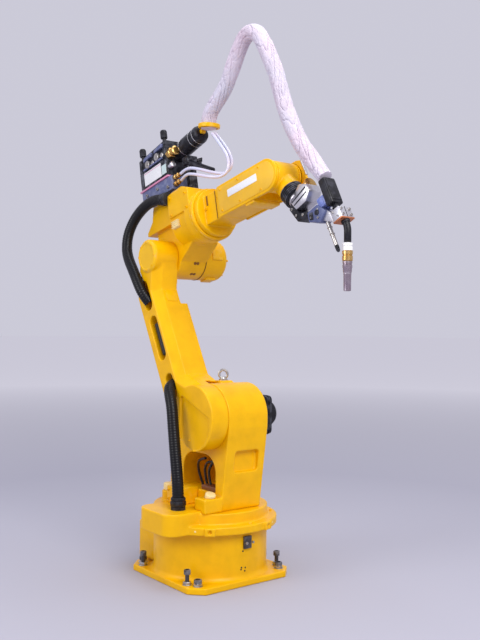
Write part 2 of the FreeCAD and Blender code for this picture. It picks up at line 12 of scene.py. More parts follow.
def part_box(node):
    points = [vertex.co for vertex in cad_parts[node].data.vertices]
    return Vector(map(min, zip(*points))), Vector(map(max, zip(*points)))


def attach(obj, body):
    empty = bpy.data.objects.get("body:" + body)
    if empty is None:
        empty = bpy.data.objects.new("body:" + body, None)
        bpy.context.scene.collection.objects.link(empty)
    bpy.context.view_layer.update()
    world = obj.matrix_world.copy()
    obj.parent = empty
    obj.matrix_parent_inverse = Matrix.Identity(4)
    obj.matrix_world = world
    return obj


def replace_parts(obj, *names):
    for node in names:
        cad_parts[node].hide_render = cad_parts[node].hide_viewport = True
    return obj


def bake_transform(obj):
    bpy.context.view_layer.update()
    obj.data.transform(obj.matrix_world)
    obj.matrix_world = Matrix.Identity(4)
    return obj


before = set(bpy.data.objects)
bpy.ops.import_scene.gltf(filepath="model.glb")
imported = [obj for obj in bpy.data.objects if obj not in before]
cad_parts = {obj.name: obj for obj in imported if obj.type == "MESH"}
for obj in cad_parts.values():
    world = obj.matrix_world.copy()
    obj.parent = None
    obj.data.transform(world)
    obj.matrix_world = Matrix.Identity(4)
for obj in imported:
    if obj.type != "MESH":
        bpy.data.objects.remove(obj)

# Six-axis arc-welding robot arm with a wire feeder on its elbow. Sizes in the classes are
# millimetres in the frame of the joint that carries the piece; meshes are in metres.

log = logging.getLogger("robot_arm")
MM = 0.001
Point = Sequence[float]
Outline = Sequence[tuple[float, float]]
Colour = tuple[float, float, float]
CREASE_ANGLE = 32.0
MERGE_DISTANCE = 2e-6
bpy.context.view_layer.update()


class Body(Enum):
    """The rigid bodies of the arm, from the floor to the torch."""

    BASE = "base"
    SWIVEL = "swivel"
    LOWER_ARM = "lower_arm"
    ELBOW = "elbow"
    FOREARM = "forearm"
    WRIST = "wrist"
    TOOL = "tool"


class Head(Enum):
    """Kinds of screw head."""

    SOCKET = "socket"
    HEX = "hex"
    TALL = "tall"


def joint_frame(x: float, z: float, rise: float) -> Matrix:
    """Make the frame of a joint.

    Args:
        x: Place of its origin along X in millimetres.
        z: Height of its origin in millimetres.
        rise: How far its own X axis points above level, in degrees.

    Returns:
        A matrix from millimetres in that frame to metres in the row frame.
    """
    turn = Matrix.Rotation(-math.radians(rise), 4, "Y")
    return Matrix.Translation((x * MM, 0, z * MM)) @ turn @ Matrix.Scale(MM, 4)


WORLD = Matrix.Scale(MM, 4)
SHOULDER = joint_frame(80, 535, 28)
ELBOW = joint_frame(-208.725, 1078.013, 12.5)
WRIST = joint_frame(347.81, 1293.579, -41)
TORCH = joint_frame(634.68, 1134.30, 27)


# ------------------------------------------------------------------ shader groups
def shader_group(name: str, inputs: dict[str, tuple[str, object]],
                 outputs: dict[str, str]) -> tuple[bpy.types.NodeTree, bpy.types.Node, bpy.types.Node]:
    """Start a shader node group.

    Args:
        name: Name of the group.
        inputs: Socket name to its type and default.
        outputs: Socket name to its type.

    Returns:
        The tree with its input node and its output node.
    """
    tree = bpy.data.node_groups.new(name, "ShaderNodeTree")
    for label, (kind, default) in inputs.items():
        socket = tree.interface.new_socket(name=label, in_out="INPUT", socket_type="NodeSocket" + kind)
        if default is not None:
            socket.default_value = default
    for label, kind in outputs.items():
        tree.interface.new_socket(name=label, in_out="OUTPUT", socket_type="NodeSocket" + kind)
    return tree, tree.nodes.new("NodeGroupInput"), tree.nodes.new("NodeGroupOutput")


def add_node(tree: bpy.types.NodeTree, kind: str, **values: object) -> bpy.types.Node:
    """Add a node and set its properties.

    Args:
        tree: The tree to add it to.
        kind: Blender's name for the node.
        values: Property names and values.

    Returns:
        The node.
    """
    node = tree.nodes.new(kind)
    for key, value in values.items():
        setattr(node, key, value)
    return node


def noise_node(tree: bpy.types.NodeTree, vector: bpy.types.NodeSocket, scale: object,
               detail: float = 4.0) -> bpy.types.Node:
    """Add a noise texture on a vector; scale is a number or a socket.

    Args:
        tree: The tree to add it to.
        vector: The socket it reads.
        scale: A number or a socket.
        detail: Octaves of the noise.

    Returns:
        The node.
    """
    node = tree.nodes.new("ShaderNodeTexNoise")
    node.inputs["Detail"].default_value = detail
    tree.links.new(vector, node.inputs["Vector"])
    if isinstance(scale, (int, float)):
        node.inputs["Scale"].default_value = scale
    else:
        tree.links.new(scale, node.inputs["Scale"])
    return node


def ramp_node(tree: bpy.types.NodeTree, factor: bpy.types.NodeSocket, low: float,
              high: float) -> bpy.types.Node:
    """Add a map-range node that stretches a factor between two values to 0..1.

    Args:
        tree: The tree to add it to.
        factor: The socket it reads.
        low: What becomes 0.
        high: What becomes 1.

    Returns:
        The node.
    """
    node = add_node(tree, "ShaderNodeMapRange", clamp=True)
    node.inputs["From Min"].default_value = low
    node.inputs["From Max"].default_value = high
    tree.links.new(factor, node.inputs["Value"])
    return node


def math_node(tree: bpy.types.NodeTree, operation: str, first: object, second: object) -> bpy.types.Node:
    """Add a math node; each operand is a number or a socket.

    Args:
        tree: The tree to add it to.
        operation: What it does.
        first: A number or a socket.
        second: A number or a socket.

    Returns:
        The node.
    """
    node = add_node(tree, "ShaderNodeMath", operation=operation)
    for socket, operand in zip(node.inputs, (first, second)):
        if isinstance(operand, (int, float)):
            socket.default_value = operand
        else:
            tree.links.new(operand, socket)
    return node


def build_groups() -> dict[str, bpy.types.NodeTree]:
    """Build the shader groups that the finishes share.

    Returns:
        Group name to node tree: cast_grain, edge_wear_and_highlight and settled_dust_and_hollow_shade.
    """
    grain, start, end = shader_group("cast_grain", {"Vector": ("Vector", None), "Scale": ("Float", 300.0)},
                                     {"Height": "Float", "Tone": "Float"})
    fine = noise_node(grain, start.outputs["Vector"], start.outputs["Scale"], 6)
    broad = noise_node(grain, start.outputs["Vector"], 9.0, 5)
    grain.links.new(fine.outputs[0], end.inputs["Height"])
    grain.links.new(ramp_node(grain, broad.outputs[0], 0.3, 0.7).outputs[0], end.inputs["Tone"])

    # Convex-edge mask with random patches that lightens edges. It is painted edge highlight on the yellow
    # casting paint, the blue parts and the black plastic, partly rubbed metal and partly painted sheen on the
    # black metal, and rubbed edges on the other finishes.
    wear_and_highlight, start, end = shader_group("edge_wear_and_highlight", {"Vector": ("Vector", None), "Amount": ("Float", 0.5)},
                                    {"Mask": "Float"})
    shape = add_node(wear_and_highlight, "ShaderNodeNewGeometry")
    edge = ramp_node(wear_and_highlight, shape.outputs["Pointiness"], 0.53, 0.62)
    patches = ramp_node(wear_and_highlight, noise_node(wear_and_highlight, start.outputs["Vector"], 60.0, 6).outputs[0], 0.45, 0.62)
    both = math_node(wear_and_highlight, "MULTIPLY", edge.outputs[0], patches.outputs[0])
    wear_and_highlight.links.new(math_node(wear_and_highlight, "MULTIPLY", both.outputs[0], start.outputs["Amount"]).outputs[0],
                   end.inputs["Mask"])

    # Hollow mask with random patches. On the yellow paints, the caps and the cloth sleeve its darker tone is
    # painted shade in hollows and creases; on the black parts and the metals it is settled dirt and patina.
    dust_and_shade, start, end = shader_group("settled_dust_and_hollow_shade", {"Vector": ("Vector", None), "Amount": ("Float", 0.5)},
                                    {"Mask": "Float"})
    shape = add_node(dust_and_shade, "ShaderNodeNewGeometry")
    hollow = ramp_node(dust_and_shade, shape.outputs["Pointiness"], 0.49, 0.42)
    patches = ramp_node(dust_and_shade, noise_node(dust_and_shade, start.outputs["Vector"], 22.0, 7).outputs[0], 0.42, 0.75)
    spread = math_node(dust_and_shade, "MAXIMUM", hollow.outputs[0], patches.outputs[0])
    dust_and_shade.links.new(math_node(dust_and_shade, "MULTIPLY", spread.outputs[0], start.outputs["Amount"]).outputs[0],
                   end.inputs["Mask"])
    return {"cast_grain": grain, "edge_wear_and_highlight": wear_and_highlight, "settled_dust_and_hollow_shade": dust_and_shade}


GROUPS = build_groups()


# ------------------------------------------------------------------ finishes
@dataclass(frozen=True)
class Finish:
    """A procedural finish with tone patches, an edge colour (rubbed edges on some finishes, painted highlight
    on others), a hollow colour (settled dirt on some finishes, painted shade on others) and fine relief.
    """

    ROUGHNESS_SPREAD = 0.16
    COAT_ROUGHNESS = 0.12
    RELIEF_DEPTH = 0.0006

    name: str
    slot: str
    colour: Colour
    shade: Colour
    roughness: float
    metallic: float = 0.0
    grain: float = 300.0
    relief: float = 0.15
    # Edge colour and its amount: rubbed edges on some finishes, painted edge highlight on others.
    wear_and_highlight: float = 0.0
    wear_and_highlight_colour: Colour = (0.55, 0.50, 0.42)
    # Hollow colour and its amount: settled dirt on the dark parts and metals, painted shade in hollows on the
    # light paints and the sleeve.
    dust_and_shade: float = 0.0
    dust_and_shade_colour: Colour = (0.20, 0.13, 0.06)
    coat: float = 0.0
    specular: float = 0.5

    def coordinates(self, tree: bpy.types.NodeTree) -> bpy.types.NodeSocket:
        """Give the vector that the patterns read."""
        return add_node(tree, "ShaderNodeTexCoord").outputs["Object"]

    def group(self, tree: bpy.types.NodeTree, name: str, vector: bpy.types.NodeSocket,
              value: float) -> bpy.types.Node:
        """Place one of the shared groups with this finish's own value.

        Args:
            tree: The tree to add it to.
            name: Which group.
            vector: The vector it reads.
            value: Its scale or amount.

        Returns:
            The group node.
        """
        node = add_node(tree, "ShaderNodeGroup", node_tree=GROUPS[name])
        tree.links.new(vector, node.inputs["Vector"])
        node.inputs[1].default_value = value
        return node

    def mix(self, tree: bpy.types.NodeTree, factor: bpy.types.NodeSocket, first: object,
            second: Colour) -> bpy.types.NodeSocket:
        """Blend towards a colour by a mask.

        Args:
            tree: The tree to add it to.
            factor: The mask.
            first: A colour or a socket.
            second: The colour where the mask is 1.

        Returns:
            The mixed colour.
        """
        node = add_node(tree, "ShaderNodeMix", data_type="RGBA")
        tree.links.new(factor, node.inputs["Factor"])
        if isinstance(first, tuple):
            node.inputs["A"].default_value = (*first, 1)
        else:
            tree.links.new(first, node.inputs["A"])
        node.inputs["B"].default_value = (*second, 1)
        return node.outputs["Result"]

    def relief_height(self, tree: bpy.types.NodeTree, vector: bpy.types.NodeSocket,
                      grain: bpy.types.Node) -> bpy.types.NodeSocket:
        """Give the height that the bump follows."""
        return grain.outputs["Height"]

    def tone(self, tree: bpy.types.NodeTree, vector: bpy.types.NodeSocket,
             grain: bpy.types.Node) -> bpy.types.NodeSocket:
        """Give the mask between the finish's colour and its shade."""
        return grain.outputs["Tone"]

    def material(self) -> bpy.types.Material:
        """Build the material once.

        Returns:
            The material of this finish.
        """
        known = bpy.data.materials.get("finish_" + self.name)
        if known:
            return known
        made = bpy.data.materials.new("finish_" + self.name)
        made.use_nodes = True
        made.diffuse_color = (*self.colour, 1)
        tree = made.node_tree
        surface = tree.nodes["Principled BSDF"]
        vector = self.coordinates(tree)
        grain = self.group(tree, "cast_grain", vector, self.grain)
        colour = self.mix(tree, self.tone(tree, vector, grain), self.colour, self.shade)
        # Edge colour: rubbed edges, and painted edge highlight on the finishes whose edge colour is a lighter
        # tone of their own.
        worn_and_lit = self.group(tree, "edge_wear_and_highlight", vector, self.wear_and_highlight)
        colour = self.mix(tree, worn_and_lit.outputs["Mask"], colour, self.wear_and_highlight_colour)
        # Hollow colour: settled dirt, and painted shade in hollows and creases on the light finishes.
        dusty_and_shaded = self.group(tree, "settled_dust_and_hollow_shade", vector, self.dust_and_shade)
        colour = self.mix(tree, dusty_and_shaded.outputs["Mask"], colour, self.dust_and_shade_colour)
        tree.links.new(colour, surface.inputs["Base Color"])
        rough = math_node(tree, "MULTIPLY_ADD", grain.outputs["Height"], self.ROUGHNESS_SPREAD)
        rough.inputs[2].default_value = self.roughness - self.ROUGHNESS_SPREAD / 2
        tree.links.new(rough.outputs[0], surface.inputs["Roughness"])
        surface.inputs["Metallic"].default_value = self.metallic
        surface.inputs["Specular IOR Level"].default_value = self.specular
        surface.inputs["Coat Weight"].default_value = self.coat
        surface.inputs["Coat Roughness"].default_value = self.COAT_ROUGHNESS
        bump = add_node(tree, "ShaderNodeBump")
        bump.inputs["Strength"].default_value = self.relief
        bump.inputs["Distance"].default_value = self.RELIEF_DEPTH
        tree.links.new(self.relief_height(tree, vector, grain), bump.inputs["Height"])
        tree.links.new(bump.outputs[0], surface.inputs["Normal"])
        return made


@dataclass(frozen=True)
class BrushedFinish(Finish):
    """Metal with fine marks all one way."""

    stretch: tuple[float, float, float] = (1.0, 1.0, 0.06)
    fineness: float = 4.0

    def relief_height(self, tree: bpy.types.NodeTree, vector: bpy.types.NodeSocket,
                      grain: bpy.types.Node) -> bpy.types.NodeSocket:
        """Give streaks along one axis.

        Args:
            tree: The tree to add it to.
            vector: The vector of the pattern.
            grain: The cast grain, not used on brushed metal.

        Returns:
            The height.
        """
        mapping = add_node(tree, "ShaderNodeMapping")
        mapping.inputs["Scale"].default_value = self.stretch
        tree.links.new(vector, mapping.inputs["Vector"])
        return noise_node(tree, mapping.outputs[0], self.grain * self.fineness, 3).outputs[0]


@dataclass(frozen=True)
class StageFinish(Finish):
    """A floor that is paler away from the lamps, so that it looks even."""

    near: float = 2.0
    far: float = 9.0

    def tone(self, tree: bpy.types.NodeTree, vector: bpy.types.NodeSocket,
             grain: bpy.types.Node) -> bpy.types.NodeSocket:
        """Give the distance from the arm as the mask.

        Args:
            tree: The tree to add it to.
            vector: The place on the floor.
            grain: The cast grain, not used on the floor.

        Returns:
            The mask.
        """
        away = add_node(tree, "ShaderNodeVectorMath", operation="LENGTH")
        tree.links.new(vector, away.inputs[0])
        return ramp_node(tree, away.outputs["Value"], self.near, self.far).outputs[0]


@dataclass(frozen=True)
class WovenFinish(Finish):
    """Cloth whose weave follows the piece's own map."""

    threads: float = 900.0
    crease_scale: float = 55.0
    crease_height: float = 2.6

    def relief_height(self, tree: bpy.types.NodeTree, vector: bpy.types.NodeSocket,
                      grain: bpy.types.Node) -> bpy.types.NodeSocket:
        """Give crossed threads over soft creases.

        Args:
            tree: The tree to add it to.
            vector: The vector of the creases.
            grain: The cast grain, not used on cloth.

        Returns:
            The height.
        """
        threads = add_node(tree, "ShaderNodeUVMap", uv_map="around_along")
        waves = []
        for direction in ("X", "Y"):
            wave = add_node(tree, "ShaderNodeTexWave", wave_type="BANDS", bands_direction=direction)
            wave.inputs["Scale"].default_value = self.threads
            tree.links.new(threads.outputs[0], wave.inputs["Vector"])
            waves.append(wave.outputs["Fac"])
        weave = math_node(tree, "MAXIMUM", *waves)
        creases = noise_node(tree, vector, self.crease_scale, 5)
        scaled = math_node(tree, "MULTIPLY", creases.outputs[0], self.crease_height)
        return math_node(tree, "ADD", weave.outputs[0], scaled.outputs[0]).outputs[0]


class Finishes:
    """The finishes of the arm, by what they are on."""

    # Casting paint: its pale yellow edge colour is painted edge highlight, and its dark orange-brown hollow
    # colour is painted shade.
    CASTING = Finish("casting_paint", "casting_paint", (0.92, 0.50, 0.0), (0.86, 0.45, 0.0), 0.34,
                     grain=260, relief=0.12, wear_and_highlight=0.30, wear_and_highlight_colour=(0.90, 0.66, 0.25), dust_and_shade=0.16,
                     dust_and_shade_colour=(0.30, 0.10, 0.0), specular=0.22)
    # Cover and panel paints: their dark orange-brown hollow colours are painted shade; their tan edge colour
    # is rubbed paint.
    COVER = Finish("cover_paint", "cover_paint", (0.92, 0.53, 0.004), (0.86, 0.48, 0.002), 0.36,
                   relief=0.10, wear_and_highlight=0.4, dust_and_shade=0.2, dust_and_shade_colour=(0.40, 0.16, 0.0), specular=0.3)
    PANEL = Finish("panel_paint", "cover_paint", (0.90, 0.52, 0.03), (0.84, 0.47, 0.02), 0.44,
                   relief=0.08, wear_and_highlight=0.3, dust_and_shade=0.15, dust_and_shade_colour=(0.42, 0.20, 0.02), specular=0.3)
    # Cap paint: its darker orange hollow colour is painted shade.
    CAP = Finish("cap_paint", "cap_paint", (0.90, 0.74, 0.36), (0.86, 0.64, 0.24), 0.5, dust_and_shade=0.25,
                 dust_and_shade_colour=(0.45, 0.25, 0.05))
    # Dark orange-brown painted shade, laid in the barrel's seam and slots and in the slots at the forearm's
    # root.
    SLOT_AND_SEAM_SHADE = Finish("seam_shade", "casting_paint", (0.26, 0.10, 0.0), (0.20, 0.07, 0.0), 0.6, dust_and_shade=0.3,
                  dust_and_shade_colour=(0.08, 0.03, 0.0))
    OXIDE = Finish("black_oxide", "zinc_steel", (0.022, 0.022, 0.030), (0.045, 0.043, 0.050), 0.36, wear_and_highlight=0.8,
                   wear_and_highlight_colour=(0.35, 0.34, 0.36), dust_and_shade=0.35, dust_and_shade_colour=(0.10, 0.065, 0.04))
    # Black metal: its blue-grey edge colour is partly rubbed metal and partly painted sheen; its lighter
    # hollow colour is settled dirt.
    BLACK_METAL = Finish("black_metal", "black_housing", (0.006, 0.006, 0.010), (0.012, 0.012, 0.016), 0.34,
                         relief=0.18, wear_and_highlight=0.7, wear_and_highlight_colour=(0.24, 0.25, 0.30), dust_and_shade=0.12,
                         dust_and_shade_colour=(0.05, 0.048, 0.052), specular=0.22)
    # Black plastic: its blue-grey edge colour is painted edge sheen; its lighter hollow colour is settled
    # dirt.
    BLACK_PLASTIC = Finish("black_plastic", "black_plastic", (0.004, 0.004, 0.007), (0.009, 0.009, 0.012),
                           0.42, grain=500, relief=0.25, wear_and_highlight=0.4, wear_and_highlight_colour=(0.12, 0.12, 0.16), dust_and_shade=0.12,
                           dust_and_shade_colour=(0.04, 0.037, 0.037), specular=0.32)
    CONDUIT = Finish("conduit_rubber", "conduit_rubber", (0.004, 0.004, 0.006), (0.008, 0.008, 0.009), 0.30,
                     grain=180, relief=0.08, dust_and_shade=0.12, dust_and_shade_colour=(0.035, 0.03, 0.028), specular=0.22)
    CABLE = Finish("cable_sheath", "cable_black", (0.012, 0.012, 0.013), (0.02, 0.02, 0.022), 0.45)
    ZINC = BrushedFinish("zinc_steel", "zinc_steel", (0.58, 0.57, 0.56), (0.44, 0.42, 0.40), 0.34,
                         metallic=1.0, wear_and_highlight=0.3, dust_and_shade=0.3, dust_and_shade_colour=(0.25, 0.17, 0.10))
    SILVER = BrushedFinish("milled_silver", "silver_metal", (0.70, 0.70, 0.74), (0.60, 0.58, 0.62), 0.32,
                           metallic=0.9, wear_and_highlight=0.5, wear_and_highlight_colour=(0.9, 0.9, 0.92), dust_and_shade=0.18,
                           dust_and_shade_colour=(0.30, 0.20, 0.16))
    # Blue enamel: its lighter blue edge colour is painted edge highlight.
    BLUE = Finish("blue_enamel", "blue_plate", (0.075, 0.095, 0.22), (0.10, 0.12, 0.26), 0.42, wear_and_highlight=0.6,
                  wear_and_highlight_colour=(0.35, 0.38, 0.5), dust_and_shade=0.15, dust_and_shade_colour=(0.12, 0.11, 0.14))
    # Blue casing: its lighter blue edge colour is painted edge highlight.
    BLUE_BRIGHT = Finish("blue_casing", "blue_plate", (0.14, 0.19, 0.50), (0.20, 0.26, 0.60), 0.35, wear_and_highlight=0.5,
                         wear_and_highlight_colour=(0.5, 0.55, 0.8))
    PINK = Finish("pink_lacquer", "pink_rail", (0.72, 0.27, 0.42), (0.62, 0.22, 0.38), 0.35, coat=0.4)
    WHITE = Finish("label_film", "label_white", (0.84, 0.84, 0.84), (0.78, 0.78, 0.79), 0.28, relief=0.03,
                   coat=0.4)
    LABEL_INK = Finish("label_print", "label_white", (0.55, 0.68, 0.66), (0.62, 0.72, 0.70), 0.35,
                       relief=0.03)
    BRASS = BrushedFinish("turned_brass", "brass", (0.72, 0.44, 0.13), (0.58, 0.33, 0.10), 0.26, metallic=1.0,
                          wear_and_highlight=0.5, wear_and_highlight_colour=(0.9, 0.75, 0.45), dust_and_shade=0.2, dust_and_shade_colour=(0.2, 0.11, 0.04))
    COPPER = BrushedFinish("heated_copper", "brass", (0.62, 0.22, 0.09), (0.46, 0.16, 0.08), 0.36,
                           metallic=0.6, dust_and_shade=0.3, dust_and_shade_colour=(0.2, 0.09, 0.05))
    TINTED = BrushedFinish("heat_tinted_steel", "zinc_steel", (0.46, 0.38, 0.40), (0.34, 0.27, 0.33), 0.28,
                           metallic=0.95, wear_and_highlight=0.6, wear_and_highlight_colour=(0.8, 0.78, 0.8), dust_and_shade=0.3,
                           dust_and_shade_colour=(0.16, 0.10, 0.10))
    # Sleeve cloth: its darker hollow colour is painted shade in the creases of the cloth.
    SLEEVE = WovenFinish("sleeve_cloth", "sleeve_fabric", (0.66, 0.64, 0.75), (0.72, 0.58, 0.68), 0.66,
                         relief=0.6, dust_and_shade=0.25, dust_and_shade_colour=(0.48, 0.42, 0.52))
    HOSE = Finish("clear_hose", "hose_clear", (0.60, 0.64, 0.80), (0.68, 0.62, 0.76), 0.16, relief=0.05,
                  coat=0.7)
    CERAMIC = Finish("insulator_ceramic", "ceramic_white", (0.90, 0.89, 0.88), (0.85, 0.84, 0.83), 0.3,
                     relief=0.05, dust_and_shade=0.1, coat=0.4)
    BROWN = Finish("terminal_resin", "terminal_brown", (0.19, 0.065, 0.025), (0.25, 0.09, 0.03), 0.45,
                   dust_and_shade=0.3, dust_and_shade_colour=(0.10, 0.06, 0.04))
    # Near-black painted shade, laid in the drum's holes and the clamp's split.
    RECESS_SHADE = Finish("recess_shade", "black_plastic", (0.012, 0.010, 0.008), (0.02, 0.016, 0.01), 0.8)
    FLOOR = StageFinish("studio_floor", "", (0.44, 0.435, 0.50), (0.985, 0.975, 0.985), 0.9, relief=0.0,
                        specular=0.0)


# ------------------------------------------------------------------ meshes
def link(name: str, data: bpy.types.ID) -> bpy.types.Object:
    """Put a mesh, a curve, a lamp or a camera in the scene as an object at the origin.

    Args:
        name: Name of the object.
        data: What it shows.

    Returns:
        The linked object.
    """
    made = bpy.data.objects.new(name, data)
    bpy.context.scene.collection.objects.link(made)
    return made


def smooth(mesh: bpy.types.Mesh, angle: float = CREASE_ANGLE) -> None:
    """Shade smooth, with edges sharper than the angle left crisp."""
    mesh.shade_smooth()
    mesh.set_sharp_from_angle(angle=math.radians(angle))


def dress(piece: bpy.types.Object, finish: Finish, body: Body, *replaced: str) -> bpy.types.Object:
    """Give a piece its finish and its body.

    Args:
        piece: The finished mesh object.
        finish: What it is made of.
        body: What it moves with.
        replaced: CAD nodes that it stands for.

    Returns:
        The same piece.
    """
    piece.data.materials.clear()
    piece.data.materials.append(finish.material())
    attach(piece, body.value)
    if replaced:
        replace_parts(piece, *replaced)
    log.info("piece %s on %s", piece.name, body.value)
    return piece


def evaluated(piece: bpy.types.Object) -> None:
    """Apply a piece's modifiers to its mesh and remove them.

    Args:
        piece: The object to settle.
    """
    graph = bpy.context.evaluated_depsgraph_get()
    final = bpy.data.meshes.new_from_object(piece.evaluated_get(graph), depsgraph=graph)
    piece.modifiers.clear()
    piece.data = final


def stood(origin: Point, axis: Point) -> Matrix:
    """Give the matrix that stands the Z axis along another axis, at an origin."""
    turn = Vector(axis).to_track_quat("Z", "Y").to_matrix().to_4x4()
    return Matrix.Translation(Vector(origin)) @ turn


class Shape:
    """A mesh put together from bevelled blocks, prisms, turned parts and rings."""

    SHARP = 0.5
    RING_SECTION = 10

    def __init__(self, place: Matrix = WORLD) -> None:
        """Start empty; place takes millimetres in a joint's frame to metres."""
        self.place = place
        self.solid = bmesh.new()

    def _take(self, part: bmesh.types.BMesh, bevel: float, segments: int = 2) -> "Shape":
        """Bevel a part's sharp edges and add it.

        Args:
            part: The part.
            bevel: Width of the bevel.
            segments: Steps of the bevel.

        Returns:
            This shape.
        """
        bmesh.ops.recalc_face_normals(part, faces=part.faces)
        if bevel > 0:
            sharp = [e for e in part.edges if len(e.link_faces) == 2 and e.calc_face_angle(0) > self.SHARP]
            bmesh.ops.bevel(part, geom=sharp, offset=bevel, offset_type="OFFSET", segments=segments,
                            profile=0.5, affect="EDGES", clamp_overlap=True)
        return self._absorb(part)

    def _absorb(self, part: bmesh.types.BMesh) -> "Shape":
        """Add a part as it is and free it.

        Args:
            part: The part, in the units of the frame.

        Returns:
            This shape.
        """
        mesh = bpy.data.meshes.new("part")
        part.to_mesh(mesh)
        part.free()
        self.solid.from_mesh(mesh)
        bpy.data.meshes.remove(mesh)
        return self

    def box(self, low: Point, high: Point, bevel: float = 1.5, segments: int = 2) -> "Shape":
        """Add a block between two corners.

        Args:
            low: The lower corner.
            high: The upper corner.
            bevel: Width of the bevel.
            segments: Steps of the bevel.

        Returns:
            This shape.
        """
        part = bmesh.new()
        middle = (Vector(low) + Vector(high)) / 2
        size = Vector(high) - Vector(low)
        bmesh.ops.create_cube(part, size=1, matrix=Matrix.Translation(middle) @ Matrix.Diagonal((*size, 1)))
        return self._take(part, bevel, segments)

    def prism(self, outline: Outline, start: float, end: float, bevel: float = 1.5, axis: str = "y",
              segments: int = 2) -> "Shape":
        """Add a prism over an outline.

        Args:
            outline: Points in the two axes across the prism, in the order of the axes.
            start: Where it begins along its axis.
            end: Where it ends.
            bevel: Width of the bevel on its edges.
            axis: The axis it runs along.
            segments: Steps of the bevel.

        Returns:
            This shape.
        """
        part = bmesh.new()
        order = {"x": (2, 0, 1), "y": (0, 2, 1), "z": (0, 1, 2)}[axis]
        rings = [[part.verts.new([(a, b, level)[k] for k in order]) for a, b in outline]
                 for level in (start, end)]
        for ring in rings:
            part.faces.new(ring)
        count = len(outline)
        for i in range(count):
            j = (i + 1) % count
            part.faces.new((rings[0][i], rings[0][j], rings[1][j], rings[1][i]))
        return self._take(part, bevel, segments)

    def turned(self, profile: Outline, origin: Point = (0, 0, 0), axis: Point = (0, 0, 1), sides: int = 48,
               bevel: float = 0.0) -> "Shape":
        """Add a turned part.

        Args:
            profile: (radius, height) points from one end of the axis to the other.
            origin: Where height 0 is.
            axis: Direction of the heights.
            sides: Steps round it.
            bevel: Width of the bevel on its corners.

        Returns:
            This shape.
        """
        part = bmesh.new()
        put = stood(origin, axis)
        rings = []
        for radius, height in profile:
            turns = [2 * math.pi * i / sides for i in range(sides)] if radius > 0 else [0.0]
            rings.append([part.verts.new(put @ Vector((radius * math.cos(a), radius * math.sin(a), height)))
                          for a in turns])
        for ring in (rings[0], rings[-1]):
            if len(ring) > 1:
                part.faces.new(ring)
        for low, high in zip(rings, rings[1:]):
            for i in range(sides):
                j = (i + 1) % sides
                corners = [low[i % len(low)], low[j % len(low)], high[j % len(high)], high[i % len(high)]]
                corners = list(dict.fromkeys(corners))
                if len(corners) > 2:
                    part.faces.new(corners)
        return self._take(part, bevel)

    def ring(self, radius: float, thick: float, origin: Point, axis: Point, sides: int = 64) -> "Shape":
        """Add a round ring of round section.

        Args:
            radius: From its centre to the middle of its section.
            thick: Radius of the section.
            origin: Its centre.
            axis: The way it faces.
            sides: Steps round it.

        Returns:
            This shape.
        """
        part = bmesh.new()
        put = stood(origin, axis)
        loops = []
        for i in range(sides):
            a = 2 * math.pi * i / sides
            loop = []
            for k in range(self.RING_SECTION):
                b = 2 * math.pi * k / self.RING_SECTION
                r, z = radius + thick * math.cos(b), thick * math.sin(b)
                loop.append(part.verts.new(put @ Vector((r * math.cos(a), r * math.sin(a), z))))
            loops.append(loop)
        for i in range(sides):
            for k in range(self.RING_SECTION):
                n, m = (i + 1) % sides, (k + 1) % self.RING_SECTION
                part.faces.new((loops[i][k], loops[n][k], loops[n][m], loops[i][m]))
        return self._take(part, 0)

    def rod(self, start: Point, end: Point, radius: float, bevel: float = 1.0, sides: int = 40) -> "Shape":
        """Add a round bar between two points.

        Args:
            start: One end.
            end: The other end.
            radius: Its radius.
            bevel: Width of the bevel.
            sides: Steps round it.

        Returns:
            This shape.
        """
        run = Vector(end) - Vector(start)
        return self.turned([(radius, 0), (radius, run.length)], start, run, sides, bevel)

    def hexagon(self, start: Point, end: Point, radius: float, bevel: float = 0.8) -> "Shape":
        """Add a six-sided bar between two points."""
        run = Vector(end) - Vector(start)
        return self.turned([(radius, 0), (radius, run.length)], start, run, 6, bevel)

    def copy_of(self, node: str) -> "Shape":
        """Add a merged copy of a CAD node.

        Args:
            node: Name of the node.

        Returns:
            This shape.
        """
        part = bmesh.new()
        part.from_mesh(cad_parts[node].data)
        bmesh.ops.remove_doubles(part, verts=part.verts, dist=MERGE_DISTANCE)
        part.transform(self.place.inverted())
        return self._absorb(part)

    def made(self, name: str) -> bpy.types.Object:
        """Turn the shape into an object at the origin.

        Args:
            name: Name of the object.

        Returns:
            The object, with its place in its mesh.
        """
        mesh = bpy.data.meshes.new(name)
        self.solid.transform(self.place)
        self.solid.to_mesh(mesh)
        self.solid.free()
        smooth(mesh)
        return link(name, mesh)

    def piece(self, name: str, finish: Finish, body: Body, *replaced: str) -> bpy.types.Object:
        """Make the object and dress it."""
        return dress(self.made(name), finish, body, *replaced)

    def machined(self, name: str, finish: Finish, body: Body, width: float,
                 *replaced: str) -> bpy.types.Object:
        """Make the object with bevelled edges, and dress it.

        Args:
            name: Name of the piece.
            finish: Its finish.
            body: What it moves with.
            width: Width of the bevel in millimetres.
            replaced: CAD nodes that it stands for.

        Returns:
            The dressed piece.
        """
        made = self.made(name)
        flat = bmesh.new()
        flat.from_mesh(made.data)
        bmesh.ops.dissolve_limit(flat, angle_limit=math.radians(1), verts=flat.verts, edges=flat.edges)
        flat.to_mesh(made.data)
        flat.free()
        bevel = made.modifiers.new("edges", "BEVEL")
        bevel.width = width * MM
        bevel.segments = 3
        bevel.limit_method = "ANGLE"
        bevel.angle_limit = math.radians(CREASE_ANGLE)
        evaluated(made)
        smooth(made.data)
        return dress(made, finish, body, *replaced)

